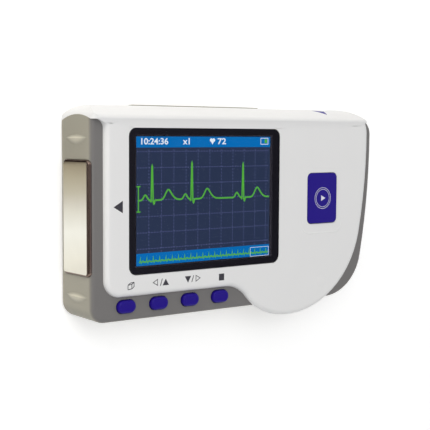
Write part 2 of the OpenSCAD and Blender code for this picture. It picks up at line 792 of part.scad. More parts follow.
module display_pad() color([0.25, 0.25, 0.25]) placed() difference() {
    pad_w = module_w - 2 * pad_inset_w;
    pad_h = module_h - 2 * pad_inset_h;
    slab(round_rect([module_shift, 0], pad_w, pad_h, 1), board_front, module_z);
    slab(round_rect([module_shift, 0], pad_w - 2 * pad_band, pad_h - 2 * pad_band, 1),
        board_front - 1, module_z + 1);
}

// Flexible cable from the display's lower edge to its connector on the board
ribbon_x = module_shift + module_w / 2 - ribbon_inset;
ribbon_left = ribbon_x - ribbon_w / 2;
ribbon_right = ribbon_x + ribbon_w / 2;
ribbon_low_y = -module_h / 2 - ribbon_loop;
ribbon_z0 = board_front + connector_t / 2;
ribbon_z1 = module_z + 2 * ribbon_t;
ribbon_end_y = ribbon_low_y - 0.8 * connector_l;
module display_ribbon() color([0.75, 0.45, 0.12]) placed() {
    block(ribbon_left, ribbon_right, ribbon_low_y, -module_h / 2 + ribbon_tuck, ribbon_z1,
        ribbon_z1 + ribbon_t);
    block(ribbon_left, ribbon_right, ribbon_low_y - ribbon_t, ribbon_low_y, ribbon_z0,
        ribbon_z1 + ribbon_t);
    block(ribbon_left, ribbon_right, ribbon_end_y, ribbon_low_y, ribbon_z0, ribbon_z0 + ribbon_t);
}

module ribbon_connector() color([0.85, 0.82, 0.72]) placed() difference() {
    block(ribbon_left - 1, ribbon_right + 1, ribbon_end_y - connector_l / 2,
        ribbon_end_y + connector_l / 2, board_front, board_front + connector_t);
    block(ribbon_left - slop, ribbon_right + slop, ribbon_end_y - slop, ribbon_low_y,
        ribbon_z0 - slop, ribbon_z0 + ribbon_t + slop);
}

// ---------- circuit board ----------

socket_x = -left_reach + socket_inset;
buzzer_c = [right_reach - buzzer_inset, -buzzer_down];
module main_board() color([0.05, 0.35, 0.18]) placed() difference() {
    intersection() {
        case_mass(wall + board_gap, strip_z);
        block(-far, far, -far, mouth_top - board_gap, board_z, board_front);
    }
    for (c = case_bosses) rod(c, boss_r + 0.3, 0, case_depth);
    for (c = board_posts) rod(c, screw_r + 0.2, 0, case_depth);
}

// Chips hang under the board in a row below the battery tray
chip_top = bay_bottom - tray_wall - chip_room;
processor_x = socket_x - processor_w;
memory_x = processor_x + processor_w + chip_space;
power_x = memory_x + memory_w + chip_space;
converter_x = board_posts[0][0] + post_r + 1;
capacitor_y = chip_top - processor_w - 2 * capacitor_l;
module chip(x, top_y, w, h) {
    block(x, x + w, top_y - h, top_y, board_z - chip_t, board_z);
}

module processor_chips() color([0.10, 0.10, 0.11]) placed() {
    chip(processor_x, chip_top, processor_w, processor_w);
    chip(memory_x, chip_top - capacitor_l, memory_w, memory_h);
    chip(power_x, chip_top - memory_h, converter_w, converter_h);
    chip(converter_x, chip_top + converter_h / 2, converter_w, converter_h);
}

module chip_capacitors() color([0.72, 0.60, 0.42]) placed() for (i = [0 : 3]) {
    x = processor_x + i * capacitor_pitch;
    y = chip_top - i * capacitor_pitch;
    block(x, x + capacitor_l, capacitor_y, capacitor_y + capacitor_w,
        board_z - capacitor_w, board_z);
    column_x = power_x + converter_w + capacitor_gap;
    block(column_x, column_x + capacitor_w, y - capacitor_l, y, board_z - capacitor_w, board_z);
}

shield_x = board_posts[1][0] + post_r + 1;
shield_y = button_y + 1.5;
module amplifier_shield() color([0.72, 0.72, 0.70]) placed() difference() {
    block(shield_x, shield_x + shield_w, shield_y, shield_y + shield_h, board_z - shield_d, board_z);
    block(shield_x + sheet_t, shield_x + shield_w - sheet_t, shield_y + sheet_t,
        shield_y + shield_h - sheet_t, board_z - shield_d + sheet_t, board_z + 1);
}

module crystal() color([0.78, 0.78, 0.80]) placed()
    slab(round_rect([memory_x + crystal_l / 2, capacitor_y - crystal_w], crystal_l, crystal_w,
        crystal_w / 2), board_z - 2 * chip_t, board_z);

module buzzer() color([0.12, 0.12, 0.12]) placed() difference() {
    rod(buzzer_c, buzzer_r, board_z - buzzer_h, board_z);
    rod(buzzer_c, buzzer_r / 6, board_z - buzzer_h - 1, board_z - 0.8 * buzzer_h);
}

module data_socket() color([0.78, 0.78, 0.78]) placed() {
    y0 = -bottom_reach + wall + 0.4;
    tongue_x = socket_w / 2 - 1.7;
    mid = board_z - socket_h / 2;
    difference() {
        block(socket_x - socket_w / 2, socket_x + socket_w / 2, y0, y0 + socket_l,
            board_z - socket_h, board_z);
        block(socket_x - socket_w / 2 + sheet_t, socket_x + socket_w / 2 - sheet_t, y0 - 1,
            y0 + socket_l - 1.5, board_z - socket_h + sheet_t, board_z - sheet_t);
    }
    block(socket_x - tongue_x, socket_x + tongue_x, y0 + 0.8, y0 + socket_l - 1,
        mid - sheet_t, mid + sheet_t);
}

// ---------- switches and buttons ----------

module switch_bodies() color([0.80, 0.80, 0.78]) placed() for (c = switch_spots) difference() {
    block(c[0] - switch_w / 2, c[0] + switch_w / 2, c[1] - switch_w / 2, c[1] + switch_w / 2,
        board_front, switch_top);
    rod(c, plunger_r + plunger_gap, board_front + 0.2, switch_top + 1);
}

module plunger(c) color([0.15, 0.15, 0.15]) placed()
    rod(c, plunger_r, board_front + 0.25 + travel, flange_z);

function button_outline(c, grow) =
    round_rect(c, button_w + 2 * grow, button_h + 2 * grow, button_h / 2 - 0.1 + grow);

// Oval button: pillow top, straight neck and a flange behind the front plate
module oval_button(x) color([0.18, 0.12, 0.55]) placed() {
    c = [x, button_y];
    loft(function (d, depth) round_rect(c, button_w, button_h, button_h / 2 - 0.1, d),
        slab_levels(flange_z + flange_t / 2, strip_z + button_rise, 0, 1.1), c);
    slab(button_outline(c, flange_w), flange_z, flange_z + flange_t);
}

module menu_button() oval_button(button_x[0]);
module left_button() oval_button(button_x[1]);
module right_button() oval_button(button_x[2]);
module stop_button() oval_button(button_x[3]);
module menu_plunger() plunger(switch_spots[0]);
module left_plunger() plunger(switch_spots[1]);
module right_plunger() plunger(switch_spots[2]);
module stop_plunger() plunger(switch_spots[3]);
module measure_plunger() plunger(switch_spots[4]);

module measure_key() color([0.18, 0.12, 0.55]) placed() {
    loft(function (d, depth) round_rect(key_c, key_w, key_h, key_r, d),
        slab_levels(key_flange_z + flange_t / 2, case_depth + key_rise, 0, 0.4), key_c);
    slab(round_rect(key_c, key_w + 2 * flange_w, key_h + 2 * flange_w, key_r + flange_w / 2),
        key_flange_z, key_flange_z + flange_t);
    rod(key_c, 2.5, flange_z, key_flange_z + slop);
}

// ---------- electrodes ----------

module palm_plate(grow, out) {
    w = palm_w + 2 * grow;
    h = palm_h + 2 * grow;
    on_left_side() translate([-seat_depth - grow, -palm_down, palm_mid_z]) rotate([0, 90, 0])
        loft(function (d, depth) round_rect([0, 0], w, h, palm_r + grow, d),
            slab_levels(0, seat_depth + grow + out, 0, grow > 0 ? 0 : palm_edge_r), [0, 0]);
}

module palm_stud(grow, length) {
    translate([-left_reach, -palm_down, stud_z]) rotate([0, 90, 0])
        translate([0, 0, -0.3]) cylinder(r = stud_r + grow, h = length);
}

module palm_seat() {
    palm_plate(0.1, palm_proud);
    palm_stud(0.1, far);
}

module palm_electrode() color([0.80, 0.77, 0.68]) placed() {
    palm_plate(0, palm_proud);
    palm_stud(0, wall + stud_in);
}

// Band that follows the bulging right side, cut to a rounded plate
module finger_plate(y, grow, out) {
    intersection() {
        difference() {
            case_band(-out);
            case_band(seat_depth + grow);
        }
        along_x(0, far) polygon(round_rect([y, finger_mid_z], finger_h + 2 * grow,
            finger_w + 2 * grow, 2 + grow));
    }
}

module case_band(inset) {
    loft(function (d, depth) case_outline(d, depth), [[0, inset], [strip_z, inset]],
        [lobe_x, 0]);
}

module finger_stud(y, grow, length) {
    translate([side_x(y) - length, y, stud_z]) rotate([0, 90, 0])
        cylinder(r = stud_r + grow, h = length);
}

// X of the right side's front edge at height y
function side_x(y) = right_reach - side_r + sqrt(pow(side_r, 2) - pow(y - widest_y, 2));

module finger_seats() for (y = finger_y) {
    finger_plate(y, 0.1, 2);
    finger_stud(y, 0.1, 6);
}

module finger_electrode(y) color([0.80, 0.77, 0.68]) placed() {
    finger_plate(y, 0, finger_proud);
    finger_stud(y, 0, wall + stud_in);
}

module upper_finger_electrode() finger_electrode(finger_y[0]);
module lower_finger_electrode() finger_electrode(finger_y[1]);

// Leaf springs: a blade against each stud and a foot on the board
module leaf(x, y, way) {
    translate([x, y, 0]) mirror([way > 0 ? 0 : 1, 0, 0]) {
        block(0, leaf_t, -1.5, 1.5, stud_z - 1.5, board_z);
        block(0, 3, -1.5, 1.5, board_z - leaf_t, board_z);
    }
}

module electrode_springs() color([0.85, 0.68, 0.35]) placed() {
    leaf(-left_reach - 0.3 + wall + stud_in, -palm_down, 1);
    for (y = finger_y) leaf(side_x(y) - wall - stud_in, y, -1);
}

// ---------- battery ----------

// AAA cell lying along X; way is +1 when its button points right
module cell(y, way) {
    nub_l = 0.8;
    middle = door_x + way * spring_l / 2;
    translate([middle, y, cell_z]) rotate([0, way * 90, 0]) translate([0, 0, -cell_l / 2]) {
        cylinder(d = cell_d, h = cell_l - nub_l);
        cylinder(d = 3.8, h = cell_l);
    }
}

module upper_cell() color([0.20, 0.45, 0.30]) placed() cell(upper_y, 1);
module lower_cell() color([0.20, 0.45, 0.30]) placed() cell(lower_y, -1);

// Conical coil spring, swept round a helix
module coil_spring(height, r0, r1, turns) {
    steps = 12;
    sides = 6;
    n = turns * steps;
    points = [for (i = [0 : n]) for (k = [0 : sides - 1])
        let (t = i / n, a = 360 * turns * t, r = r0 + (r1 - r0) * t + wire_r * cos(360 * k / sides))
        [r * cos(a), r * sin(a), wire_r + (height - 2 * wire_r) * t + wire_r * sin(360 * k / sides)]];
    polyhedron(points, concat(
        [[for (k = [0 : sides - 1]) k]],
        [for (i = [0 : n - 1]) for (k = [0 : sides - 1])
            let (next = (k + 1) % sides)
            [i * sides + k, (i + 1) * sides + k, (i + 1) * sides + next, i * sides + next]],
        [[for (k = [sides - 1 : -1 : 0]) n * sides + k]]
    ));
}

module coil_springs() color([0.80, 0.80, 0.82]) placed() {
    translate([bay_left + contact_t, upper_y, cell_z]) rotate([0, 90, 0])
        coil_spring(spring_l, coil_r, coil_tip_r, 4);
    translate([bay_right - contact_t, lower_y, cell_z]) rotate([0, -90, 0])
        coil_spring(spring_l, coil_r, coil_tip_r, 4);
}

module battery_contacts() color([0.82, 0.82, 0.80]) placed() {
    for (x = [bay_left, bay_right - contact_t]) for (y = [lower_y, upper_y]) {
        block(x, x + contact_t, y - 4.2, y + 4.2, cell_z - 4.2, cell_z + 4.2);
        block(x, x + contact_t, y - 1.3, y + 1.3, cell_z + 4, board_z);
    }
}

// ---------- screws ----------

// Screw with its head at the bottom and its tip upwards, with a cross recess
module screw(c, z, shank) {
    difference() {
        union() {
            rod(c, head_r, z, z + head_h);
            rod(c, screw_r, z, z + head_h + shank);
        }
        block(c[0] - cross_l, c[0] + cross_l, c[1] - cross_w / 2, c[1] + cross_w / 2, z - 1,
            z + head_h / 2);
        block(c[0] - cross_w / 2, c[0] + cross_w / 2, c[1] - cross_l, c[1] + cross_l, z - 1,
            z + head_h / 2);
    }
}

module case_screws() color([0.62, 0.62, 0.64]) placed()
    for (c = case_bosses) screw(c, 0.1, case_screw_l);

module board_screws() color([0.62, 0.62, 0.64]) placed()
    for (c = board_posts) screw(c, board_z - head_h, board_t + board_screw_l);

// ---------- parts ----------

front_cover();
main_housing();
back_cover();
battery_door();
window_lens();
window_mask();
display_panel();
display_frame();
display_pad();
display_ribbon();
ribbon_connector();
main_board();
processor_chips();
chip_capacitors();
amplifier_shield();
crystal();
buzzer();
data_socket();
switch_bodies();
menu_button();
menu_plunger();
left_button();
left_plunger();
right_button();
right_plunger();
stop_button();
stop_plunger();
measure_key();
measure_plunger();
palm_electrode();
upper_finger_electrode();
lower_finger_electrode();
electrode_springs();
upper_cell();
lower_cell();
coil_springs();
battery_contacts();
case_screws();
board_screws();
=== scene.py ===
# %% [markdown]
# # A handheld heart monitor, dressed in Blender
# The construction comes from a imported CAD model. Blender opens it as a fixed frame, keeps every
# piece in its place, and gives the piece its finish. All lengths are metres, so a helper turns
# millimetres into metres, counted from the middle of the screen's front face, where most details
# of the real monitor are easiest to measure.

import math

import bmesh
import bpy
from mathutils import Matrix, Vector


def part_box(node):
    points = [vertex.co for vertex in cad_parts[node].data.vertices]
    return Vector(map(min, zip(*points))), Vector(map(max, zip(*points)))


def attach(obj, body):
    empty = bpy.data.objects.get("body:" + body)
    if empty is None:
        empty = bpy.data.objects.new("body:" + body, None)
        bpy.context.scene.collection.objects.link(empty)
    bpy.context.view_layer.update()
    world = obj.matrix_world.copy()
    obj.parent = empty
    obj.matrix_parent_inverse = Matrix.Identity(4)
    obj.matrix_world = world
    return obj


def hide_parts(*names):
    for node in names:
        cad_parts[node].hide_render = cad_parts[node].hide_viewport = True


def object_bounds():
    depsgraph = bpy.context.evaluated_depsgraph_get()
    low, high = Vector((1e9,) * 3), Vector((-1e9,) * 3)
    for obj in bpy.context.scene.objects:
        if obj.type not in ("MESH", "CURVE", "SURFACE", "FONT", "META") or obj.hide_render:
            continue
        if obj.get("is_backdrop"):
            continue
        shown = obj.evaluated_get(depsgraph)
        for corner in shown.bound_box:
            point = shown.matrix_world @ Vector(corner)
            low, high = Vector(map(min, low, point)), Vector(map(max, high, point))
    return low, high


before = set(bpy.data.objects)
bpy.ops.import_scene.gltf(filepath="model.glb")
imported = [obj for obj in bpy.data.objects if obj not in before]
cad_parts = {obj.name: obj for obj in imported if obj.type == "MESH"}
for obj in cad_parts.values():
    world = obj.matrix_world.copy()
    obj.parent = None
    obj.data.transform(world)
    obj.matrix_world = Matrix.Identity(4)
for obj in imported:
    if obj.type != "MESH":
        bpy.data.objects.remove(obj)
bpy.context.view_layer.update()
MM = 0.001
lens_low, lens_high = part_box("window_lens")
SCREEN = Vector(((lens_low.x + lens_high.x) / 2, (lens_low.y + lens_high.y) / 2, lens_high.z))


def at(x, y, z=0.0):
    """A place in millimetres right of, above and in front of the middle of the screen."""
    return SCREEN + Vector((x, y, z)) * MM


print("screen's middle, metres:", [round(v, 5) for v in SCREEN])

# %% [markdown]
# ## Camera
# A real camera sees the object in perspective, and its lens and place decide every slanted line.
# They could be tried by eye. Here they were solved once from the corners of the screen and the
# case, and are written down as the three directions of the camera: right, down and forward.

# %% Set the camera
camera_data = bpy.data.cameras.new("camera")
camera_data.sensor_fit = "HORIZONTAL"
camera_data.sensor_width = 36
camera_data.lens = 84.28
camera_data.clip_start = 0.01
camera = bpy.data.objects.new("camera", camera_data)
bpy.context.scene.collection.objects.link(camera)
RIGHT = Vector((0.80576187, 0.00589687, 0.5922103))
DOWN = Vector((-0.04291171, -0.99674081, 0.06831065))
FORWARD = Vector((0.59068299, -0.08045487, -0.80288269))
turn = Matrix((RIGHT, -DOWN, -FORWARD)).transposed()
camera.matrix_world = Matrix.Translation(at(-204.682, 22.547, 282.198)) @ turn.to_4x4()
bpy.context.scene.camera = camera
print("camera distance, metres:", round((camera.location - SCREEN).length, 3))

# %% [markdown]
# ## Working habits
# Blender's operators act on what is selected, so each step first clears the selection. Faces and
# edges are then chosen by where they lie and which way they point, as an eye would do it. These
# few helpers keep that short: pick a piece, choose its faces or edges, and settle its place.


# %% Pick, choose and settle
def clear():
    """Leaves edit mode and selects nothing."""
    if bpy.context.object and bpy.context.object.mode != "OBJECT":
        bpy.ops.object.mode_set(mode="OBJECT")
    bpy.ops.object.select_all(action="DESELECT")


def pick(piece):
    """Selects one piece alone."""
    clear()
    piece.select_set(True)
    bpy.context.view_layer.objects.active = piece


def choose(piece, kind, test):
    """Edit mode with the faces or edges chosen whose middle and direction pass the test."""
    pick(piece)
    bpy.ops.object.mode_set(mode="EDIT")
    bpy.ops.mesh.select_mode(type=kind)
    bpy.ops.mesh.select_all(action="DESELECT")
    mesh = bmesh.from_edit_mesh(piece.data)
    if kind == "FACE":
        chosen = [f for f in mesh.faces if test(f.calc_center_median(), f.normal)]
    else:
        chosen = []
        for edge in mesh.edges:
            start, end = (v.co for v in edge.verts)
            if test((start + end) / 2, (end - start).normalized()):
                chosen.append(edge)
    for part in chosen:
        part.select_set(True)
    bmesh.update_edit_mesh(piece.data)


def choose_all(piece):
    """Edit mode with every face chosen."""
    choose(piece, "FACE", lambda middle, normal: True)


def settle(piece):
    """Puts the piece's place and size into its mesh, and its object at the origin."""
    pick(piece)
    bpy.ops.object.transform_apply(location=True, rotation=True, scale=True)
    return piece


def modify(piece, kind, **settings):
    """Adds a modifier with its settings and applies it."""
    pick(piece)
    modifier = piece.modifiers.new(kind, kind)
    for name, value in settings.items():
        setattr(modifier, name, value)
    bpy.ops.object.modifier_apply(modifier=modifier.name)
    return piece


def smooth(piece, angle=35):
    """Smooth shading up to an angle, with flat faces leading."""
    pick(piece)
    bpy.ops.object.shade_smooth_by_angle(angle=math.radians(angle))
    return modify(piece, "WEIGHTED_NORMAL", keep_sharp=True, weight=80)


def soften(piece, width, angle=40):
    """Breaks the sharp edges with a small bevel."""
    return modify(piece, "BEVEL", width=width * MM, segments=2, limit_method="ANGLE",
                  angle_limit=math.radians(angle))


def repeat(piece, count, step_x, step_y):
    """Copies a piece in a row, with its step in millimetres."""
    return modify(piece, "ARRAY", count=count, use_relative_offset=False,
                  use_constant_offset=True,
                  constant_offset_displace=(step_x * MM, step_y * MM, 0))


def join(name, pieces):
    """Makes one piece of several."""
    clear()
    for piece in pieces:
        piece.select_set(True)
    bpy.context.view_layer.objects.active = pieces[0]
    bpy.ops.object.join()
    pieces[0].name = name
    return pieces[0]


def duplicate(piece, name):
    """A copy with a mesh of its own."""
    copy = piece.copy()
    copy.data = piece.data.copy()
    copy.name = name
    bpy.context.scene.collection.objects.link(copy)
    return copy


def made(name):
    """The object that was just added, under its name."""
    bpy.context.object.name = name
    return bpy.context.object


def circle(name, vertices, radius, place=(0, 0, 0)):
    """A flat filled circle, with its radius in millimetres."""
    bpy.ops.mesh.primitive_circle_add(
        vertices=vertices, radius=radius * MM, fill_type="NGON", location=place)
    return made(name)


def rod(name, vertices, radius, depth, place, tilt=math.pi / 2):
    """A settled cylinder, lying along X unless its tilt is nought."""
    bpy.ops.mesh.primitive_cylinder_add(
        vertices=vertices, radius=radius * MM, depth=depth, location=place, rotation=(0, tilt, 0))
    return settle(made(name))


finished = []


def fit(piece, material, body, slot, *nodes):
    """Gives a finished piece its material, its body and the CAD nodes it stands for; the slot is
    not used.
    """
    clear()
    piece.data.materials.clear()
    piece.data.materials.append(material)
    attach(piece, body)
    if nodes:
        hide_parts(*nodes)
    finished.append(piece.name)
    return piece


print("helpers ready")

# %% [markdown]
# ## Effects shared by the finishes
# Moulded plastic is never one flat colour: a fine spark-eroded grain breaks the shine, and the
# pigment drifts a little. Brushed metal has hair lines along one direction. Handling leaves a
# faint haze. Photographs of surfaces could bring this, but node groups do it at any zoom. Each
# group is built once, works in millimetres of object space, and is given its own values later.


# %% Node helpers
def feed(tree, socket, value):
    """Links a socket to an input, or types a value into it."""
    if isinstance(value, bpy.types.NodeSocket):
        tree.links.new(value, socket)
    else:
        socket.default_value = value


def put(tree, kind, settings=None, **inputs):
    """Adds a shader node, with its settings and its inputs, which may be sockets or values."""
    node = tree.nodes.new("ShaderNode" + kind)
    for name, value in (settings or {}).items():
        setattr(node, name, value)
    for name, value in inputs.items():
        feed(tree, node.inputs[name.replace("_", " ")], value)
    return node


def work(tree, operation, first, second=0.5, third=0.0):
    """A math node's result."""
    node = put(tree, "Math", {"operation": operation})
    for socket, value in zip(node.inputs, (first, second, third)):
        feed(tree, socket, value)
    return node.outputs[0]


def vector_work(tree, operation, vector, factor, socket):
    """A vector math node's result, its factor led into the socket named or numbered."""
    node = put(tree, "VectorMath", {"operation": operation})
    feed(tree, node.inputs[0], vector)
    feed(tree, node.inputs[socket], factor)
    return node.outputs[0]


def millimetres(tree, stretch=None):
    """Object coordinates in millimetres, stretched by a vector where one is given."""
    place = put(tree, "TexCoord").outputs["Object"]
    place = vector_work(tree, "MULTIPLY", place, (1000, 1000, 1000), 1)
    return place if stretch is None else vector_work(tree, "MULTIPLY", place, stretch, 1)


def axes(tree):
    """The three object coordinates in millimetres."""
    return put(tree, "SeparateXYZ", Vector=millimetres(tree)).outputs


def noise(tree, place, scale, detail=2.0, roughness=0.5):
    """Soft random patches; the scale is how many lie on a millimetre."""
    return put(tree, "TexNoise", Vector=place, Scale=scale, Detail=detail,
               Roughness=roughness).outputs[0]


def rise(tree, value, low, high):
    """Nought below a value and one above another, with a soft rise between them."""
    return put(tree, "MapRange", {"interpolation_type": "SMOOTHSTEP"}, Value=value,
               From_Min=low, From_Max=high).outputs[0]


def tinted(tree, colour, tone):
    """A colour times a grey tone."""
    return vector_work(tree, "SCALE", colour, tone, "Scale")


def to_eye_or_mirror(tree):
    """One for rays from the camera, from a mirror or through the window, otherwise nought."""
    rays = put(tree, "LightPath").outputs
    direct = work(tree, "MAXIMUM", rays["Is Camera Ray"], rays["Is Glossy Ray"])
    return work(tree, "MAXIMUM", direct, rays["Is Transmission Ray"])


def effect(name, outs, build, **ins):
    """A node group: its inputs have first values, and build returns what each output shows."""
    tree = bpy.data.node_groups.new(name, "ShaderNodeTree")
    for label, value in ins.items():
        kind = "Float" if isinstance(value, float) else {3: "Vector", 4: "Color"}[len(value)]
        socket = tree.interface.new_socket(
            name=label, in_out="INPUT", socket_type="NodeSocket" + kind)
        socket.default_value = value
    for label in outs:
        kind = "Color" if label == "Colour" else "Float"
        tree.interface.new_socket(name=label, in_out="OUTPUT", socket_type="NodeSocket" + kind)
    given = tree.nodes.new("NodeGroupInput")
    shown = tree.nodes.new("NodeGroupOutput")
    for label, value in build(tree, given.outputs).items():
        tree.links.new(value, shown.inputs[label])
    return tree


SKIN = ("Colour", "Roughness", "Height")
PALE = (0.8, 0.8, 0.8, 1)


# %% Moulded grain, brushed lines, handling haze and display dots
def build_grain(tree, given):
    place = millimetres(tree)
    fine = noise(tree, place, work(tree, "DIVIDE", 1.0, given["Grain"]), roughness=0.6)
    broad = noise(tree, place, 0.09, 3.0)
    drift = work(tree, "MULTIPLY", work(tree, "SUBTRACT", broad, 0.5), given["Mottle"])
    speck = work(tree, "MULTIPLY", work(tree, "SUBTRACT", fine, 0.5),
                 work(tree, "MULTIPLY", given["Mottle"], 0.9))
    tone = work(tree, "ADD", work(tree, "ADD", drift, speck), 1.0)
    rough = work(tree, "MULTIPLY_ADD", work(tree, "SUBTRACT", fine, 0.5), 0.16, given["Roughness"])
    return {"Colour": tinted(tree, given["Colour"], tone), "Roughness": rough, "Height": fine}


moulded_grain = effect("moulded grain", SKIN, build_grain, Colour=PALE, Roughness=0.5,
                       Grain=0.35, Mottle=0.05)


def build_brush(tree, given):
    lines = noise(tree, millimetres(tree, given["Stretch"]), 1.0, 3.0, 0.7)
    cloud = noise(tree, millimetres(tree), 0.16)
    swing = work(tree, "MULTIPLY", work(tree, "SUBTRACT", lines, 0.5), given["Depth"])
    tone = work(tree, "ADD", swing, work(
        tree, "MULTIPLY_ADD", work(tree, "SUBTRACT", cloud, 0.5), 0.08, 1.0))
    rough = work(tree, "MULTIPLY_ADD", swing, 1.3, given["Roughness"])
    return {"Colour": tinted(tree, given["Colour"], tone), "Roughness": rough, "Height": lines}


brushed_lines = effect("brushed lines", SKIN, build_brush, Colour=PALE, Roughness=0.3,
                       Stretch=(6, 6, 6), Depth=0.22)


def build_haze(tree, given):
    place = millimetres(tree)
    patches = noise(tree, place, 0.07, 4.0)
    specks = put(tree, "TexVoronoi", Vector=place, Scale=0.8).outputs[0]
    dust = work(tree, "LESS_THAN", specks, 0.06)
    amount = work(tree, "MULTIPLY", work(tree, "MULTIPLY_ADD", dust, 0.25, patches),
                  given["Amount"])
    rough = work(tree, "MULTIPLY_ADD", amount, 0.35, given["Roughness"])
    veil = work(tree, "MULTIPLY_ADD", amount, -0.06, 1.0)
    return {"Colour": tinted(tree, given["Colour"], veil), "Roughness": rough}


handling_haze = effect("handling haze", SKIN[:2], build_haze, Colour=PALE, Roughness=0.5,
                       Amount=0.3)


def build_dots(tree, given):
    """Rows and columns of picture elements: each is a little darker towards its rim."""
    parts = axes(tree)
    rim = None
    for axis in ("X", "Y"):
        cell = work(tree, "FRACT", work(tree, "DIVIDE", parts[axis], given["Pitch"]))
        wave = work(tree, "ABSOLUTE", work(tree, "SUBTRACT", cell, 0.5))
        rim = wave if rim is None else work(tree, "MAXIMUM", rim, wave)
    tone = work(tree, "MULTIPLY_ADD", work(tree, "GREATER_THAN", rim, 0.42), given["Dimming"], 1.0)
    cloud = noise(tree, millimetres(tree), 0.05, 1.0)
    tone = work(tree, "ADD", tone, work(tree, "MULTIPLY_ADD", cloud, 0.1, -0.05))
    return {"Colour": tinted(tree, given["Colour"], tone)}


display_dots = effect("display dots", SKIN[:1], build_dots, Colour=(0.1, 0.1, 0.1, 1),
                      Pitch=0.18, Dimming=-0.12)
print("effects:", [g.name for g in bpy.data.node_groups])


# %% [markdown]
# ## Finishes
# Each material is one Principled shader. A number that is the same all over is typed on the
# shader itself; what changes over the surface comes out of the effects. Colours are written as
# they look, and a helper turns them into the linear values that the renderer works with.

# %% Material makers
def look(red, green, blue):
    """A colour as seen on screen, 0 to 255, as the renderer's linear colour."""
    def line(value):
        value /= 255
        return value / 12.92 if value <= 0.04045 else ((value + 0.055) / 1.055) ** 2.4
    return (line(red), line(green), line(blue), 1)


def fresh(name, **constants):
    """A new material, its tree and its shader, with the constant values set on the shader."""
    material = bpy.data.materials.new(name)
    material.use_nodes = True
    tree = material.node_tree
    skin = tree.nodes["Principled BSDF"]
    for label, value in constants.items():
        skin.inputs[label.replace("_", " ")].default_value = value
    return material, tree, skin


def use(tree, group, **inputs):
    """Places an effect in a material."""
    return put(tree, "Group", {"node_tree": group}, **inputs)


def lead(tree, marks, skin):
    """Leads an effect's colour and roughness into the shader."""
    tree.links.new(marks.outputs["Colour"], skin.inputs["Base Color"])
    tree.links.new(marks.outputs["Roughness"], skin.inputs["Roughness"])


def dress(tree, skin, marks, haze, relief):
    """Leads an effect's colour, roughness and height into the shader, through the haze."""
    lead(tree, use(tree, handling_haze, Colour=marks.outputs["Colour"],
                   Roughness=marks.outputs["Roughness"], Amount=haze), skin)
    bump = put(tree, "Bump", Height=marks.outputs["Height"], Strength=0.6, Distance=relief * MM)
    tree.links.new(bump.outputs[0], skin.inputs["Normal"])


def moulded(name, colour, rough=0.42, grain=0.35, mottle=0.04, relief=0.004, haze=0.15, **more):
    """Moulded plastic, rubber, foam or ceramic."""
    material, tree, skin = fresh(name, **more)
    marks = use(tree, moulded_grain, Colour=look(*colour), Roughness=rough, Grain=grain,
                Mottle=mottle)
    dress(tree, skin, marks, haze, relief)
    return material


def metal(name, colour, rough=0.3, stretch=(6, 0.4, 6), relief=0.002, haze=0.2, depth=0.22):
    """Brushed, rolled or plated metal, with its lines along the least stretched axis."""
    material, tree, skin = fresh(name, Metallic=1.0)
    marks = use(tree, brushed_lines, Colour=look(*colour), Roughness=rough, Stretch=stretch,
                Depth=depth)
    dress(tree, skin, marks, haze, relief)
    return material


# %% The monitor's finishes
white_shell = moulded("white moulded shell", (235, 235, 235), 0.36, 0.3, 0.02, 0.002, 0.1)
grey_shell = moulded("grey moulded case", (150, 147, 134), 0.5, 0.4, 0.06, 0.006, 0.2)
door_grey = moulded("battery door plastic", (170, 167, 156), 0.5, 0.4, 0.06, 0.006, 0.2)
blue_keys = moulded("blue key plastic", (29, 4, 132), 0.4, 0.35, 0.08, 0.004, 0.15,
                    Specular_IOR_Level=0.2)
black_print = moulded("black window print", (20, 19, 25), 0.6, 0.2, 0.1, 0.001, 0.0)
dark_ink = moulded("dark ink", (46, 44, 54), 0.55, 0.12, 0.12, 0.001, 0.1)
blue_ink = moulded("blue ink", (48, 36, 140), 0.5, 0.12, 0.1, 0.001, 0.1)
white_ink = moulded("white ink", (226, 226, 236), 0.5, 0.12, 0.06, 0.001, 0.1)
black_plastic = moulded("black plastic", (34, 34, 36), 0.55, 0.5, 0.12, 0.004, 0.3)
ivory_plastic = moulded("ivory plastic", (222, 214, 188), 0.5, 0.4, 0.06, 0.004, 0.2)
foam = moulded("grey foam", (70, 70, 72), 0.95, 0.6, 0.4, 0.06, 0.3)
tan_ceramic = moulded("tan ceramic", (192, 160, 118), 0.6, 0.2, 0.1, 0.002, 0.1)
amber_film = moulded("amber film", (206, 128, 40), 0.25, 0.8, 0.1, 0.001, 0.1)
cell_sleeve = moulded("battery sleeve", (28, 92, 70), 0.22, 0.9, 0.05, 0.001, 0.2)
sleeve_band = moulded("battery sleeve band", (214, 168, 62), 0.2, 0.9, 0.05, 0.001, 0.2)
electrode_steel = metal("brushed electrode steel", (232, 228, 212), 0.2, (9, 0.25, 9), 0.0006,
                        0.15, 0.06)
pressed_steel = metal("pressed steel", (196, 196, 194), 0.32, (0.4, 7, 7))
spring_bronze = metal("spring bronze", (214, 172, 104), 0.3, (5, 5, 0.5))
plated_wire = metal("plated wire", (206, 206, 208), 0.24, (3, 3, 3))
screw_steel = metal("screw steel", (176, 176, 180), 0.34, (4, 4, 4))
# Painted reflection and shade: the palm plate's rim gets a dark brown metal colour for the dark
# surroundings and the shadowed gap it shows.
rim_steel_painted_dark = metal("steel rim with painted dark reflection", (130, 113, 103), 0.2, (3, 3, 3), 0.0006, 0.15, 0.1)
gold_plate = metal("gold plate", (232, 190, 92), 0.22, (5, 0.5, 5))


# %% Painted side light: the case's left side is painted lighter and warmer than its front
def build_painted_side_light(tree, given):
    """One colour below a height of the piece, another above it, with a soft border: the lighter
    low colour is painted light on the side.
    """
    share = rise(tree, axes(tree)["Z"], given["From"], given["To"])
    blend = put(tree, "Mix", {"data_type": "RGBA"})
    for number, source in ((0, share), (6, given["Low"]), (7, given["High"])):
        tree.links.new(source, blend.inputs[number])
    return {"Colour": blend.outputs[2]}


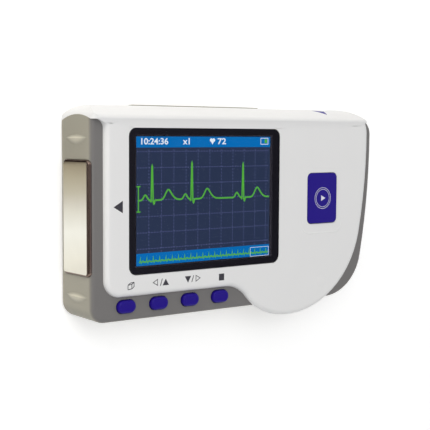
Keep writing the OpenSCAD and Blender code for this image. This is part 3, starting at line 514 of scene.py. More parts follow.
painted_side_light = effect("painted side light", SKIN[:1], build_painted_side_light, Low=(0.3, 0.3, 0.3, 1),
                  High=(0.2, 0.2, 0.2, 1), From=16.8, To=18.3)

# %% Painted highlight on the crests of the grip ridges
# The left side starts this far left of the screen's middle at the back, and leans in by an angle.
SIDE_FOOT = -46.334
LEAN = math.radians(3.2)


def build_crests(tree, given):
    """Lightens what stands proud of the leaning left side: a painted highlight on the ridge
    crests.
    """
    place = axes(tree)
    side = work(tree, "MULTIPLY_ADD", place["Z"], math.tan(LEAN), given["Side"])
    proud = work(tree, "SUBTRACT", side, place["X"])
    tone = work(tree, "MULTIPLY_ADD", rise(tree, proud, 0.1, 0.8), given["Polish"], 1.0)
    return {"Colour": tinted(tree, given["Colour"], tone)}


painted_crest_highlight = effect("painted crest highlight", SKIN[:1], build_crests, Colour=(0.3, 0.3, 0.3, 1),
                     Side=0.0, Polish=0.6)
case_grey, tree, skin = fresh("case grey with painted side light", Specular_IOR_Level=0.4)
# Painted light: the low colour, on the left side, is lighter and warmer than the front's, standing
# in for the warm light from the left.
tones = use(tree, painted_side_light, Low=look(161, 157, 143), High=look(117, 115, 114))
# Painted highlight: the ridge crests are lightened in their colour, standing in for the light they
# catch from above.
crests = use(tree, painted_crest_highlight, Colour=tones.outputs["Colour"],
             Side=at(SIDE_FOOT, 0).x / MM, Polish=0.7)
marks = use(tree, moulded_grain, Colour=crests.outputs["Colour"], Roughness=0.5, Grain=0.4,
            Mottle=0.06)
dress(tree, skin, marks, 0.2, 0.006)


# %% Circuit board green, with copper tracks under the lacquer
def build_tracks(tree, given):
    place = millimetres(tree)
    tracks = put(tree, "TexBrick", {"offset": 0.37, "squash": 1.0}, Vector=place, Scale=0.4,
                 Mortar_Size=0.03, Brick_Width=0.9, Row_Height=0.35).outputs["Fac"]
    weave = noise(tree, place, 3.0)
    tone = work(tree, "MULTIPLY_ADD", tracks, 0.6, work(tree, "MULTIPLY_ADD", weave, 0.2, 0.85))
    rough = work(tree, "MULTIPLY_ADD", weave, 0.15, given["Roughness"])
    return {"Colour": tinted(tree, given["Colour"], tone), "Roughness": rough, "Height": tracks}


board_tracks = effect("board tracks", SKIN, build_tracks, Colour=(0.02, 0.2, 0.08, 1),
                      Roughness=0.3)
board_green, tree, skin = fresh("board lacquer")
dress(tree, skin, use(tree, board_tracks, Colour=look(18, 92, 52), Roughness=0.3), 0.3, 0.02)


# %% Clear window and the light of the display
SCREEN_LIFT = 1.08


def lit(name, colour):
    """A lit part of the picture: it shines by itself, dot by dot."""
    material, tree, skin = fresh(
        name, Roughness=0.8, Specular_IOR_Level=0.0, Emission_Strength=SCREEN_LIFT)
    for label, shade in (("Emission Color", colour), ("Base Color", (14, 16, 22))):
        dots = use(tree, display_dots, Colour=look(*shade))
        tree.links.new(dots.outputs["Colour"], skin.inputs[label])
    return material


clear_window, tree, skin = fresh(
    "clear window", IOR=1.49, Transmission_Weight=1.0, Specular_IOR_Level=0.35)
marks = use(tree, moulded_grain, Colour=(1, 1, 1, 1), Roughness=0.0, Grain=0.9, Mottle=0.0)
lead(tree, use(tree, handling_haze, Colour=marks.outputs["Colour"], Roughness=0.01,
               Amount=0.06), skin)
display_navy = lit("display navy", (40, 51, 77))
display_blue = lit("display blue", (0, 106, 180))
display_grid = lit("display grid", (82, 88, 134))
display_green = lit("display green", (83, 172, 58))
display_white = lit("display white", (226, 236, 246))
print("materials:", len(bpy.data.materials))

# %% [markdown]
# ## Floor, light and air
# The monitor lies on its flat back on a pale floor. Soft boxes from above and from beyond its left
# shoulder model the shape, and an even white surround fills the shadows. The lamps are set
# by the brightness that each adds on a white surface facing it, which keeps the sum near one, so
# that a colour renders about as it is written. Cards stand where the window and the bare metal
# mirror them, as in a photographer's studio: nothing else sees them.


# %% Soft boxes
def soft_box(name, place, size, level, tint=(1, 1, 1)):
    """A square lamp aimed at the monitor; level is what it adds on white facing it."""
    place = Vector(place)
    lamp = bpy.data.lights.new(name, "AREA")
    lamp.size = size
    lamp.energy = math.pi ** 2 * place.length ** 2 * level
    lamp.color = tint
    box = bpy.data.objects.new(name, lamp)
    box.location = place
    box.rotation_euler = (-place).to_track_quat("-Z", "Y").to_euler()
    bpy.context.scene.collection.objects.link(box)
    return box


soft_box("overhead soft box", (-0.3, 0.2, 0.7), 0.6, 0.41)
shoulder = soft_box("left soft box", (-0.55, 0.7, 0.1), 0.5, 0.48, (1.0, 0.95, 0.84))
shoulder.visible_glossy = False

# %% Even surround, seen as white
world = bpy.data.worlds.new("white surround")
bpy.context.scene.world = world
world.use_nodes = True
tree = world.node_tree
tree.nodes.clear()
SURROUND = 0.48  # what it lights surfaces by; seen or mirrored it is white
strength = work(tree, "MULTIPLY_ADD", to_eye_or_mirror(tree), 1 - SURROUND, SURROUND)
air = put(tree, "Background", Color=(1, 1, 1, 1), Strength=strength)
out = tree.nodes.new("ShaderNodeOutputWorld")
tree.links.new(air.outputs[0], out.inputs["Surface"])

# %% Pale floor
bpy.ops.mesh.primitive_plane_add(size=3, location=(0, 0, -0.0002))
floor = settle(made("floor"))
floor_white, tree, skin = fresh("pale floor")
marks = use(tree, moulded_grain, Colour=(0.93, 0.93, 0.93, 1), Roughness=0.8, Grain=1.5,
            Mottle=0.01)
lead(tree, marks, skin)
FLOOR_GLOW = 0.32
skin.inputs["Emission Color"].default_value = (1, 1, 1, 1)
tree.links.new(work(tree, "MULTIPLY", to_eye_or_mirror(tree), FLOOR_GLOW),
               skin.inputs["Emission Strength"])
floor.data.materials.append(floor_white)
floor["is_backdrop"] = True


# %% Cards that only reflections see
def card(name, middle, facing, width, height, tones, axis="Y"):
    """A shining card for reflections; tones are (millimetres along an axis, seen colour)."""
    bpy.ops.mesh.primitive_plane_add(size=1, location=middle)
    piece = made(name)
    piece.scale = (width, height, 1)
    piece.rotation_euler = (facing - middle).to_track_quat("Z", "Y").to_euler()
    settle(piece)
    material, tree, skin = fresh(
        name, Base_Color=(0, 0, 0, 1), Specular_IOR_Level=0.0, Emission_Strength=1.0)
    low, high = tones[0][0], tones[-1][0]
    share = work(tree, "DIVIDE", work(tree, "SUBTRACT", axes(tree)[axis], low), high - low)
    ramp = put(tree, "ValToRGB", Fac=share)
    stops = ramp.color_ramp.elements
    while len(stops) < len(tones):
        stops.new(0.5)
    for stop, (where, colour) in zip(stops, tones):
        stop.position = (where - low) / (high - low)
        stop.color = colour
    tree.links.new(ramp.outputs["Color"], skin.inputs["Emission Color"])
    piece.data.materials.append(material)
    for ray in ("camera", "diffuse", "shadow", "volume_scatter"):
        setattr(piece, "visible_" + ray, False)
    piece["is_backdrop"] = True


def grey(level, tint=(1, 1, 1)):
    """A linear grey with a tint."""
    return tuple(level * part for part in tint) + (1,)


UP = Vector((0, 0, 1))
NIGHT = (0.92, 0.86, 1.2)


def ceiling(x, y, height):
    """The place at a height that the camera sees mirrored at x, y on the window."""
    eye, here = camera.location, at(x, y)
    spot = eye + (here - eye) * (1 + height / (eye.z - here.z))
    return Vector((spot.x, spot.y, here.z + height))


def window_card(name, low, high, height, tones):
    """A card mirrored between two corners on the window; tones run from left to right."""
    near, far = ceiling(*low, height), ceiling(*high, height)
    middle = (near + far) / 2
    card(name, middle, middle - UP, far.x - near.x, far.y - near.y,
         [(near.x / MM, tones[0]), (far.x / MM, tones[1])], "X")


window_card("window card", (-44, -40), (44, 40), 0.302, (grey(0.35, NIGHT), grey(0.21, NIGHT)))
window_card("picture card", (-29.6, -21.7), (27.7, 21.8), 0.3,
            (grey(0.04, NIGHT), grey(0.02, NIGHT)))

# %% Cards beside the palm plate, dark above its upper end
palm_low, palm_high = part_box("palm_electrode")
top = palm_high.y / MM - 1.1
edge = palm_low.x
mid_y = (palm_low.y + palm_high.y) / 2
DEEP = grey(0.05, (1.2, 0.9, 0.8))
BROWN = grey(0.08, (1.15, 0.95, 0.85))
shore = Vector((edge - 0.0105, mid_y, 0.0003))
card("palm card", shore, shore + UP, 0.021, 0.11, [
    (top - 37, grey(0.98)), (top - 34, grey(1.06)), (top - 24, grey(1.13, (0.98, 1, 1.05))),
    (top - 17, grey(0.93)), (top - 14, grey(0.78, (1.02, 1, 0.98))),
    (top - 11, grey(0.65, (1.05, 1, 0.92))), (top - 5, grey(0.5, (1.08, 1, 0.84))),
    (top - 1, grey(0.38, (1.12, 1, 0.8))), (top + 0.5, DEEP), (top + 14, DEEP),
    (top + 22, grey(0.5))])
FADE = [(top - 60, BROWN), (top - 8, BROWN), (top + 8, grey(0.16, (1.1, 0.97, 0.9)))]
beach = Vector((edge - 0.12, mid_y, 0.0004))
card("shore card", beach, beach + UP, 0.194, 0.3, FADE)
wall = Vector((edge - 0.215, mid_y, 0.2))
card("wall card", wall, wall + Vector((1, 0, 0)), 0.4, 0.3, FADE)
sky = Vector((edge - 0.035, mid_y, 0.4))
card("sky card", sky, sky - UP, 0.36, 0.3, FADE)
print("stage ready")

# %% [markdown]
# ## The mouldings
# The covers, the case and the door already have their true shape in the CAD model, but its mesh
# is loose triangles with flat shading. A copy is merged, the knife-sharp edges get the tiny radius
# that every moulding has, and the curves are shaded smooth. On the front cover the roof's brow
# first gets a softer foot, as on the real shell. The CAD piece itself is hidden and goes on
# carrying the construction.


# %% Refine a CAD node
BROW_FOOT = 27.16  # the front line of the roof's step on the plate
TOUCH = 1e-6  # two places nearer than this, in metres, are one


def unlock(piece):
    """Edit mode with everything selected."""
    pick(piece)
    bpy.ops.object.mode_set(mode="EDIT")
    bpy.ops.mesh.select_all(action="SELECT")


def soft_brow(cover):
    """Draws the foot of the roof's small step down over the plate, but not at its ends."""
    foot, start, stop = at(0, BROW_FOOT), at(-41, 0).x, at(73, 0).x
    for x in (start, stop):
        unlock(cover)
        bpy.ops.mesh.bisect(plane_co=(x, 0, 0), plane_no=(1, 0, 0))
        clear()
    for point in cover.data.vertices:
        near = abs(point.co.y - foot.y) < 0.05 * MM and abs(point.co.z - foot.z) < 0.01 * MM
        if near and start - TOUCH < point.co.x < stop + TOUCH:
            point.co.y -= 1.3 * MM


def refined(node, name, edge):
    """A merged, softened and smoothed copy of a CAD node; edge is the bevel's width."""
    copy = duplicate(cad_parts[node], name)
    copy.data.name = name
    for key in list(copy.keys()):
        del copy[key]
    pick(copy)
    bpy.ops.mesh.customdata_custom_splitnormals_clear()
    unlock(copy)
    bpy.ops.mesh.remove_doubles(threshold=2 * TOUCH)
    clear()
    if node == "front_cover":
        soft_brow(copy)
    if edge:
        soften(copy, edge)
    return smooth(copy)


MOULDINGS = [
    ("front_cover", "front_cover_shell", white_shell, "white_shell", 0.12),
    ("main_housing", "case_shell", case_grey, "grey_shell", 0.1),
    ("back_cover", "back_cover_shell", grey_shell, "grey_shell", 0.12),
    ("window_lens", "window_pane", clear_window, "clear_window", 0.12),
    ("upper_finger_electrode", "upper_finger_plate", electrode_steel, "electrode_steel", 0.15),
    ("lower_finger_electrode", "lower_finger_plate", electrode_steel, "electrode_steel", 0.15),
    ("coil_springs", "battery_springs", plated_wire, "plated_wire", 0),
    ("battery_contacts", "contact_plates", plated_wire, "plated_wire", 0.08),
    ("case_screws", "back_screws", screw_steel, "screw_steel", 0.08),
]
for node, name, material, slot, edge in MOULDINGS:
    piece = fit(refined(node, name, edge), material, "case", slot, node)
    print(name, len(piece.data.polygons), "faces")

# %% [markdown]
# ## Blocks with rounded corners
# Keys, caps and plates all start as a box. Its four edges along one direction get the corner
# radius by a bevel, and the rim of one face gets a smaller one. Doing it in this order keeps a
# clean strip of faces round the piece, as a turned or milled mould would leave it.


# %% Rounded block and rim
def block(name, low, high, corner, axis=2, segments=8):
    """A box between two corners, its edges along an axis rounded."""
    bpy.ops.mesh.primitive_cube_add(size=1, location=(low + high) / 2)
    piece = made(name)
    piece.scale = high - low
    settle(piece)
    if corner:
        choose(piece, "EDGE", lambda middle, way: abs(way[axis]) > 0.9)
        bpy.ops.mesh.bevel(offset=corner * MM, segments=segments, affect="EDGES")
    clear()
    return piece


def round_rim(piece, axis, level, radius, segments=5):
    """Rounds the rim of the face that lies at a level along an axis."""
    choose(piece, "EDGE",
           lambda middle, way: abs(middle[axis] - level) < TOUCH and abs(way[axis]) < 0.1)
    bpy.ops.mesh.bevel(offset=radius * MM, segments=segments, affect="EDGES")
    clear()


def flange(piece, level, grow_x, grow_y, middle, thickness):
    """Draws the lowest face outwards and down into a flange."""
    choose(piece, "FACE", lambda middle, normal: normal.z < -0.9 and middle.z < level + TOUCH)
    bpy.ops.mesh.extrude_region_move(TRANSFORM_OT_translate={"value": (0, 0, 0)})
    bpy.ops.transform.resize(value=(grow_x, grow_y, 1), center_override=middle)
    bpy.ops.mesh.extrude_region_move(TRANSFORM_OT_translate={"value": (0, 0, -thickness * MM)})
    clear()


# %% [markdown]
# ## Four oval keys
# Each key is one soft-looking cap: an oval neck, a generous radius round its top and a shallow
# dish for the fingertip, with a flange below that the case holds. All four are the same moulding
# on the real monitor, so one is modelled and copied along the grey strip.

# %% Oval keys
KEY_X = (-32.2, -19.3, -6.4, 6.5)
KEY_Y = -34.9
KEY_TOP = -0.7
NECK_FOOT = -3.55
cap = block("menu_cap", at(KEY_X[0] - 3.55, KEY_Y - 2.2, NECK_FOOT),
            at(KEY_X[0] + 3.55, KEY_Y + 2.2, KEY_TOP), 2.1, segments=10)
round_rim(cap, 2, at(0, 0, KEY_TOP).z, 0.95, 6)
under_top = at(0, 0, KEY_TOP - 0.01).z
choose(cap, "FACE", lambda middle, normal: normal.z > 0.99 and middle.z > under_top)
bpy.ops.mesh.inset(thickness=0.35 * MM, depth=-0.05 * MM)
bpy.ops.mesh.inset(thickness=0.4 * MM, depth=-0.05 * MM)
clear()
flange(cap, at(0, 0, NECK_FOOT).z, 8.7 / 7.1, 6.0 / 4.4, at(KEY_X[0], KEY_Y), 0.6)
smooth(cap, 40)
CAPS = [("menu_cap", "menu", "menu_button"), ("left_cap", "left_up", "left_button"),
        ("right_cap", "right_down", "right_button"), ("stop_cap", "stop", "stop_button")]
for x, (name, body, node) in zip(KEY_X, CAPS):
    key = cap if name == "menu_cap" else duplicate(cap, name)
    key.location = Vector((x - KEY_X[0], 0, 0)) * MM
    fit(settle(key), blue_keys, body, "blue_plastic", node)
    print(name, "box mm", [round(v / MM, 2) for v in key.dimensions])

# %% [markdown]
# ## The measure key
# The large key starts a recording. It is a flat plate with small corner radii, a crisp rim and a
# flange, on a short post over its switch. Two fine rings and a triangle are printed on it. Print
# is only a few hundredths thick, so flat rings are drawn out by that much and sunk by half.

# %% Measure key body
MEASURE = (53.15, -1.45)
MEASURE_TOP = 0.385
MEASURE_FOOT = -2.35
measure = block("measure_cap", at(MEASURE[0] - 7.25, MEASURE[1] - 9.45, MEASURE_FOOT),
                at(MEASURE[0] + 7.25, MEASURE[1] + 9.45, MEASURE_TOP), 1.8, segments=7)
round_rim(measure, 2, at(0, 0, MEASURE_TOP).z, 0.4, 4)
flange(measure, at(0, 0, MEASURE_FOOT).z, 16.1 / 14.5, 20.5 / 18.9, at(*MEASURE), 0.3)
smooth(measure, 40)
post = rod("post", 32, 2.5, 1.6 * MM, at(*MEASURE, -3.35), tilt=0)
soften(post, 0.1)
smooth(post, 40)
measure = join("measure_cap", [measure, post])
fit(measure, blue_keys, "measure", "blue_plastic", "measure_key")
INK = 0.02


# %% Printed marks
def printed(piece, height=INK):
    """Draws a flat mark out to the thickness of ink and settles it."""
    settle(piece)
    choose_all(piece)
    bpy.ops.mesh.extrude_region_move(TRANSFORM_OT_translate={"value": (0, 0, height * MM)})
    bpy.ops.mesh.select_all(action="SELECT")
    bpy.ops.mesh.normals_make_consistent(inside=False)
    clear()
    return piece


def outline(piece, width):
    """Leaves only the rim of a flat mark, in a width."""
    choose_all(piece)
    bpy.ops.mesh.inset(thickness=width * MM)
    bpy.ops.mesh.delete(type="FACE")
    clear()


def ring(name, x, y, z, outer, inner, vertices=64, height=INK):
    """A flat printed ring."""
    piece = circle(name, vertices, outer, at(x, y, z))
    outline(piece, outer - inner)
    return printed(piece, height)


def wedge(name, x, y, z, radius, degrees, squeeze=1.0, hollow=0.0, height=INK):
    """A printed triangle with its tip in a direction, filled or as an outline."""
    piece = circle(name, 3, radius, at(x, y, z))
    piece.scale = (squeeze, 1, 1)
    piece.rotation_euler = (0, 0, math.radians(degrees - 90))
    settle(piece)
    if hollow:
        outline(piece, hollow)
    return printed(piece, height)


def stroke(name, start, end, z, width, height=INK):
    """A printed straight stroke between two points."""
    x, y = (start[0] + end[0]) / 2, (start[1] + end[1]) / 2
    bpy.ops.mesh.primitive_plane_add(size=1, location=at(x, y, z))
    piece = made(name)
    piece.scale = (math.dist(start, end) * MM, width * MM, 1)
    piece.rotation_euler = (0, 0, math.atan2(end[1] - start[1], end[0] - start[0]))
    return printed(piece, height)


MARK_Z = 0.38
marks = [
    ring("ring", *MEASURE, MARK_Z, 4.02, 3.86), ring("ring", *MEASURE, MARK_Z, 3.36, 3.22),
    wedge("start", MEASURE[0] - 0.1, MEASURE[1], MARK_Z, 1.4, 0, 0.9)]
fit(join("measure_marks", marks), white_ink, "measure", "blue_plastic")

# %% [markdown]
# ## Marks printed on the white cover
# Over the keys stand small signs: a stack of records, arrows and slashes, and a square for stop.
# A solid arrowhead at the left points to the palm plate. They are dark ink, as thick as a coat of
# pad print, made of the same simple strokes, triangles and outlines.

# %% Signs over the keys
FACE = -0.012
signs = []
SHEET = [(-32.55, -29.0), (-31.05, -28.8), (-31.05, -27.3), (-32.55, -27.5)]
BEHIND = [(-31.7, -26.85), (-30.2, -26.65), (-30.2, -28.15)]
for start, end in zip(SHEET + [SHEET[3]] + BEHIND, SHEET[1:] + SHEET[:1] + BEHIND + [SHEET[1]]):
    signs.append(stroke("sheet", start, end, FACE, 0.26))
signs += [
    stroke("fold", SHEET[2], BEHIND[1], FACE, 0.26),
    wedge("arrow", -21.5, -27.45, FACE, 1.42, 180, hollow=0.24),
    stroke("slash", (-19.75, -28.7), (-19.0, -26.35), FACE, 0.28),
    wedge("arrow", -17.6, -27.95, FACE, 1.5, 90),
    wedge("arrow", -8.45, -27.1, FACE, 1.5, 270),
    stroke("slash", (-6.85, -28.55), (-6.05, -26.25), FACE, 0.28),
    wedge("arrow", -4.5, -27.35, FACE, 1.42, 0, hollow=0.24),
    stroke("stop", (4.8, -27.8), (7.1, -27.8), FACE, 2.4),
    wedge("palm_arrow", -35.65, -1.5, FACE, 2.35, 180)]
fit(join("cover_marks", signs), dark_ink, "case", "white_shell")
print("signs printed:", len(signs))

# %% [markdown]
# ## The palm plate
# The left end carries a bent plate of bare metal that the palm closes over. It follows the
# leaning side of the case, so it is modelled flat in the side's own frame, with its corners and
# its rolled rim, and then the finished plate is leaned by the same angle and put in place.

# %% Palm plate
PALM_Y, PALM_Z = -5.2, 10.3
PROUD = 0.9
plate = block("palm_plate", Vector((-PROUD, PALM_Y - 19.1, PALM_Z - 7.8)) * MM,
              Vector((0.6, PALM_Y + 19.1, PALM_Z + 7.8)) * MM, 1.5, axis=0, segments=7)
round_rim(plate, 0, -PROUD * MM, PROUD, 7)
plate.matrix_world = (Matrix.Translation(at(SIDE_FOOT, 0, -20.5))
                      @ Matrix.Rotation(LEAN, 4, "Y"))
settle(plate)
smooth(plate, 40)
stud = rod("stud", 24, 0.8, 3 * MM, at(-44.1, PALM_Y, -11.4))
soften(stud, 0.15)
smooth(stud, 40)
fit(join("palm_plate", [plate, stud]), electrode_steel, "case", "electrode_steel",
    "palm_electrode")
# Painted reflection and shade: every face but the flat outer one takes the dark rim colour.
plate.data.materials.append(rim_steel_painted_dark)
for face in plate.data.polygons:
    face.material_index = 0 if face.normal.x < -0.95 else 1
print("palm plate box mm:", [round(v / MM, 2) for v in plate.dimensions])

# %% [markdown]
# ## Soft forms on the cover
# The flat front does not meet the roof at a hard line: it rises to it in a wide hollow that shows
# as a soft shade. A grid lifted along a curve gives that hollow, faded out at both ends. Round the
# measure key runs a very low raised line, and a shallow round pad marks the place of a hidden
# boss. All three are hardly higher than a sheet of paper, yet they catch the light.


# %% Hollow under the roof
def hollow(name, x0, x1, y0, y1, height, fade):
    """A sheet over the plate that rises towards the roof and fades out at both ends."""
    bpy.ops.mesh.primitive_grid_add(
        x_subdivisions=90, y_subdivisions=14, size=1, location=at((x0 + x1) / 2, (y0 + y1) / 2))
    piece = made(name)
    piece.scale = ((x1 - x0) * MM, (y1 - y0) * MM, 1)
    settle(piece)
    start, stop = at(x0, y0), at(x1, y1)
    for vertex in piece.data.vertices:
        up = (vertex.co.y - start.y) / (stop.y - start.y)
        near = min(1.0, min(vertex.co.x - start.x, stop.x - vertex.co.x) / (fade * MM))
        near = near * near * (3 - 2 * near)
        vertex.co.z += (height * up * up * near - 0.004 * (1 - up)) * MM
    return smooth(modify(piece, "SOLIDIFY", thickness=0.3 * MM, offset=-1), 50)


fit(hollow("roof_hollow", -38.6, 69.0, 24.4, 27.35, 0.35, 5), white_shell, "case", "white_shell")


# %% Lines drawn as ribbons
def ribbon(name, points, z, width, height):
    """A line of a width and a low height through points."""
    curve = bpy.data.curves.new(name, "CURVE")
    curve.dimensions = "3D"
    curve.bevel_depth = width / 2 * MM
    curve.bevel_resolution = 2
    curve.use_fill_caps = True
    spline = curve.splines.new("POLY")
    spline.points.add(len(points) - 1)
    for knot, (x, y) in zip(spline.points, points):
        knot.co = (x * MM, y * MM, 0, 1)
    piece = bpy.data.objects.new(name, curve)
    bpy.context.scene.collection.objects.link(piece)
    piece.location = at(0, 0, z)
    pick(piece)
    bpy.ops.object.convert(target="MESH")
    piece = bpy.context.object
    piece.scale = (1, 1, height / width)
    settle(piece)
    return smooth(piece, 60)


def arc(x, y, radius, start, stop, steps=12):
    """Points on an arc, in degrees."""
    turns = [math.radians(start + (stop - start) * i / steps) for i in range(steps + 1)]
    return [(x + radius * math.cos(a), y + radius * math.sin(a)) for a in turns]


KEY_LINE = [(42.9, -7.0), *arc(46.9, -10.6, 4.0, 180, 270),
            *arc(59.4, -10.6, 4.0, 270, 360), (63.4, -7.0)]
fit(ribbon("key_line", KEY_LINE, 0.0, 0.7, 0.12), white_shell, "case", "white_shell")

# %% Round pad on the lobe
pad = settle(circle("lobe_pad", 48, 2.3, at(53.2, -33.2, -0.02)))
choose_all(pad)
for step, rise in ((0.25, 0.05), (0.5, 0.035), (0.6, 0.02), (0.6, 0.01)):
    bpy.ops.mesh.inset(thickness=step * MM, depth=rise * MM)
smooth(pad, 60)
fit(pad, white_shell, "case", "white_shell")

# %% [markdown]
# ## Arrowhead printed on the roof
# A blue arrowhead is printed where the roof curves over. A flat triangle would cut into the roof,
# so it is subdivided and each point is pushed out onto the roof's arc, as a soft printing pad
# wraps its ink round a curve.

# %% Roof arrowhead
arrow = settle(circle("roof_arrow", 3, 2))
CORNERS = (at(53.1, 31.05, -6.5), at(58.2, 30.8, -5.5), at(57.2, 29.6, -2.6))
for vertex, corner in zip(arrow.data.vertices, CORNERS):
    vertex.co = corner
choose_all(arrow)
bpy.ops.mesh.quads_convert_to_tris()
bpy.ops.mesh.subdivide(number_cuts=9)
clear()
ROOF = at(0, 15.5, -10.075)
ROOF_RADIUS = 16.385 * MM
for vertex in arrow.data.vertices:
    out = Vector((0, vertex.co.y - ROOF.y, vertex.co.z - ROOF.z)).normalized()
    vertex.co = Vector((vertex.co.x, ROOF.y, ROOF.z)) + out * ROOF_RADIUS
choose_all(arrow)
bpy.ops.mesh.normals_make_consistent(inside=False)
clear()
if sum(face.normal.y for face in arrow.data.polygons) < 0:
    choose_all(arrow)
    bpy.ops.mesh.flip_normals()
    clear()
modify(arrow, "SOLIDIFY", thickness=0.04 * MM, offset=1)
fit(smooth(arrow, 50), blue_ink, "case", "white_shell")
print("roof arrow points:", len(arrow.data.vertices))

# %% [markdown]
# ## The lit picture
# Behind the window the display shows a trace on a dashed grid, between two blue bars. A picture
# file could be shown there, but this one is built of real, very thin pieces that shine: slabs,
# arrays of dashes, ribbons and letters. So it stays sharp at any distance and needs no file. The
# window bends the view, so the picture is moved a little to be seen at its right place.

# %% Picture helpers
LAYER = 0.012
BACK, MIDDLE, FRONT = -1.298, -1.284, -1.268
TEXT_FOOT, TEXT_HEAD = 18.95, 21.1
SHIFT_X, SHIFT_Y = 0.62, -0.08


def seen(x, y):
    """Where a point of the picture lies that is seen at x, y in the window."""
    return (x + SHIFT_X, y + SHIFT_Y)


def slab(name, low, high, z):
    """A thin lit area between two seen corners."""
    (x0, y0), (x1, y1) = seen(*low), seen(*high)
    return stroke(name, (x0, (y0 + y1) / 2), (x1, (y0 + y1) / 2), z, y1 - y0, LAYER)


def line(name, start, end, z, width):
    """A thin lit line between two seen points."""
    return stroke(name, seen(*start), seen(*end), z, width, LAYER)


def letters(name, text, left, right):
    """Letters in the upper bar, fitted between two seen sides."""
    bpy.ops.object.text_add()
    piece = bpy.context.object
    piece.data.body = text
    piece.data.offset = 0.018
    pick(piece)
    bpy.ops.object.convert(target="MESH")
    piece = made(name)
    xs = [v.co.x for v in piece.data.vertices]
    ys = [v.co.y for v in piece.data.vertices]
    (x0, y0), (x1, y1) = seen(left, TEXT_FOOT), seen(right, TEXT_HEAD)
    wide, tall = (x1 - x0) * MM / (max(xs) - min(xs)), (y1 - y0) * MM / (max(ys) - min(ys))
    piece.scale = (wide, tall, 1)
    piece.location = at(x0, y0, FRONT) - Vector((min(xs) * wide, min(ys) * tall, 0))
    return printed(piece, LAYER)


def dashes(name, start, length, width, along, across):
    """One dash copied in rows and columns: along and across are (count, step x, step y)."""
    x, y = start
    reach, rise = (length / 2, 0) if along[1] else (0, length / 2)
    piece = line(name, (x - reach, y - rise), (x + reach, y + rise), MIDDLE, width)
    return repeat(repeat(piece, *along), *across)


def show(piece, material):
    """A finished part of the picture."""
    return fit(piece, material, "case", "display_glass")


# %% Ground, bars and grid
show(slab("picture_ground", (-29.4, -21.5), (27.5, 21.6), BACK), display_navy)
show(join("picture_bars", [slab("top", (-29.4, 17.95), (27.5, 21.6), MIDDLE),
                           slab("bottom", (-29.4, -21.5), (27.5, -17.4), MIDDLE)]), display_blue)
show(join("picture_grid", [
    dashes("columns", (-24.5, -16.9), 0.5, 0.26, (31, 0, 1.13), (11, 5.02, 0)),
    dashes("rows", (-28.9, -15.9), 0.52, 0.3, (50, 1.13, 0), (7, 0, 5.42))]), display_grid)


# %% The heart's trace
def bump(x, middle, width, height):
    """A soft wave's share of the height at x."""
    return height * math.exp(-((x - middle) / width) ** 2)


BEATS = ((-23.2, 12.0), (-7.0, 13.0), (15.2, 12.5))


def heart(x):
    """Height of the trace: each beat has a small wave, a sharp spike and a broad wave."""
    y = 0.2 - 0.006 * x
    for beat, tall in BEATS:
        y += bump(x, beat - 2.7, 0.95, 1.75) + bump(x, beat + 6.4, 1.5, 3.2)
        y += bump(x, beat + 8.2, 1.5, 0.8) - bump(x, beat - 0.5, 0.25, 0.5)
        y += min(1.0, max(0.0, 1.25 - abs(x - beat) / 0.32)) * tall
        y -= bump(x, beat + 0.72, 0.26, 1.4)
    return y


trace = [(x / 10, heart(x / 10)) for x in range(-285, 274)]
show(ribbon("picture_trace", [seen(*p) for p in trace], FRONT, 0.56, LAYER), display_green)
small = []
for i in range(22):
    x = -28.4 + 2.56 * i
    small += [(x, -20.3), (x + 0.45, -20.2), (x + 0.62, -18.5), (x + 0.82, -20.75),
              (x + 1.1, -20.25), (x + 1.6, -19.9), (x + 2.0, -20.3)]
small = [p for p in small if p[0] < 27.2]
show(ribbon("picture_record", [seen(*p) for p in small], FRONT, 0.54, LAYER), display_green)
show(join("picture_scale", [
    line("post", (-28.6, -3.5), (-28.6, 5.1), FRONT, 0.42),
    line("foot", (-29.35, -3.4), (-27.8, -3.4), FRONT, 0.42),
    line("head", (-29.35, 5.0), (-27.8, 5.0), FRONT, 0.42),
    slab("charge", (24.95, 19.35), (26.1, 20.75), FRONT)]), display_green)

# %% Figures and frames in the bars
figures = [letters("clock", "10:24:36", -27.5, -16.8), letters("gain", "x1", -10.8, -8.0),
           letters("pulse", "72", 3.9, 7.5)]
HEART_X = 1.65 + SHIFT_X
figures += [ring("lobe", HEART_X + side, 20.35, FRONT, 0.62, 0.02, 20, LAYER)
            for side in (-0.5, 0.5)]
figures.append(wedge("tip", HEART_X, 19.9, FRONT, 1.12, 270, height=LAYER))
for (x0, y0), (x1, y1), width in (((23.2, TEXT_FOOT), (26.5, TEXT_HEAD), 0.2),
                                  ((18.8, -21.4), (27.2, -18.2), 0.13)):
    for start, end in (((x0, y0), (x1, y0)), ((x0, y1), (x1, y1)),
                       ((x0, y0), (x0, y1)), ((x1, y0), (x1, y1))):
        figures.append(line("side", start, end, FRONT, width))
show(join("picture_figures", figures), display_white)
print("picture pieces:", sum(name.startswith("picture") for name in finished))

# %% [markdown]
# ## Inside the battery bay
# When the door slides off, two cells come to light. Each is a steel can in a printed sleeve: the
# sleeve is drawn in over the rim of the can, and the plus end has a nub. Both are made from
# cylinders whose ends are inset and pushed, and the second is turned end for end.


# %% Cells
def tube(name, x0, x1, y, z, radius, draw_in):
    """A cylinder along X between two ends, which are inset and pushed in."""
    piece = rod(name, 48, radius, abs(x1 - x0), ((x0 + x1) / 2, y, z))
    for way in (1, -1):
        choose(piece, "FACE", lambda middle, normal: normal.x * way > 0.9)
        bpy.ops.mesh.inset(thickness=draw_in * MM)
        bpy.ops.transform.translate(value=(-0.35 * MM * way, 0, 0))
    soften(piece, 0.3, 60)
    return smooth(piece, 40)


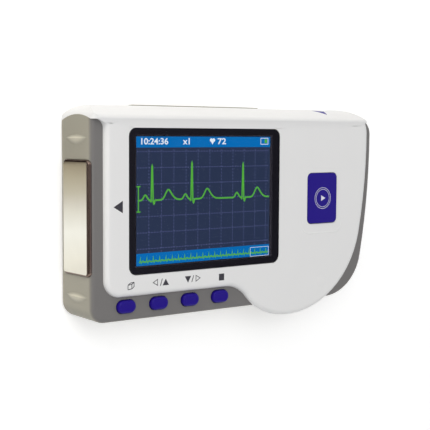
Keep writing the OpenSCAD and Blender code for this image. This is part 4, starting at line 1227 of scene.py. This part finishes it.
NUB = 0.8 * MM
for node, way in (("upper_cell", 1), ("lower_cell", -1)):
    low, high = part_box(node)
    y, z = (low.y + high.y) / 2, (low.z + high.z) / 2
    tail, tip = (low.x, high.x - NUB) if way > 0 else (high.x, low.x + NUB)
    split = tip - way * 9 * MM
    sleeve = tube(node + "_sleeve", tail, split, y, z, 5.25, 0.9)
    band = tube(node + "_band", split, tip, y, z, 5.25, 0.9)
    inset = way * 0.3 * MM
    can = tube(node + "_can", tail + inset, tip - inset, y, z, 4.4, 0.4)
    cap = tube(node + "_nub", tip - way * 3 * MM, tip + way * NUB, y, z, 1.9, 0.3)
    fit(sleeve, cell_sleeve, "case", "cell_can", node)
    fit(band, sleeve_band, "case", "cell_can")
    fit(join(node + "_can", [can, cap]), plated_wire, "case", "cell_can")
print("cells fitted")

# %% [markdown]
# ## Small work on the socket and the door
# The socket in the lower edge shows a tongue with a row of gilded contacts: one strip, copied by
# an array. The door has grip grooves and an arrow that tells the thumb which way it slides. They
# are cut out with a Boolean modifier, because grooves must stay below its flat back.

# %% Socket contacts
contact = block("socket_contacts", at(-9.75, -36.6, -7.86), at(-9.35, -32.5, -7.79), 0.12,
                segments=3)
fit(smooth(repeat(contact, 5, 0.79, 0), 40), gold_plate, "case", "pressed_steel")

# %% Door grooves
door = refined("battery_door", "battery_door_panel", 0)
groove = block("groove", at(-5.5, 4.0, -21.0), at(9.5, 4.9, -20.15), 0.4, segments=4)
repeat(groove, 6, 0, 1.7)
tip = wedge("tip", 2.0, 16.5, -21.0, 2.6, 90, height=0.8)
for cutter in (groove, tip):
    modify(door, "BOOLEAN", operation="DIFFERENCE", solver="EXACT", object=cutter)
    bpy.data.objects.remove(cutter)
soften(door, 0.12, 50)
smooth(door)
fit(door, door_grey, "door", "grey_shell", "battery_door")
print("door faces:", len(door.data.polygons))

# %% [markdown]
# ## Pieces that keep their CAD shape
# Chips, springs, the board and other inner pieces already have their true shape. They only get
# their finish, in the slots of their own objects.

# %% Inner finishes
panel_glass = moulded("dark display glass", (13, 13, 17), 0.16, 0.9, 0.1, 0.001, 0.1)
INNER = {
    black_print: ["window_mask"], panel_glass: ["display_panel"],
    pressed_steel: ["display_frame", "amplifier_shield", "switch_bodies"],
    foam: ["display_pad"], amber_film: ["display_ribbon"], ivory_plastic: ["ribbon_connector"],
    board_green: ["main_board"], tan_ceramic: ["chip_capacitors"],
    black_plastic: ["processor_chips", "buzzer", "menu_plunger", "left_plunger",
                    "right_plunger", "stop_plunger", "measure_plunger"],
    plated_wire: ["crystal", "data_socket"], spring_bronze: ["electrode_springs"],
    screw_steel: ["board_screws"],
}
for material, nodes in INNER.items():
    for node in nodes:
        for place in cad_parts[node].material_slots:
            place.material = material
print("inner pieces finished:", sum(len(nodes) for nodes in INNER.values()))

# %% [markdown]
# ## View and bounds
# Colours are shown plainly, without a film look. The bounds of the dressed model are measured, and
# the number of pieces made is printed.

# %% Colour view, sizes and finish
clear()
bpy.context.scene.view_settings.view_transform = "Standard"
low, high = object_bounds()
print("pieces made:", len(finished))
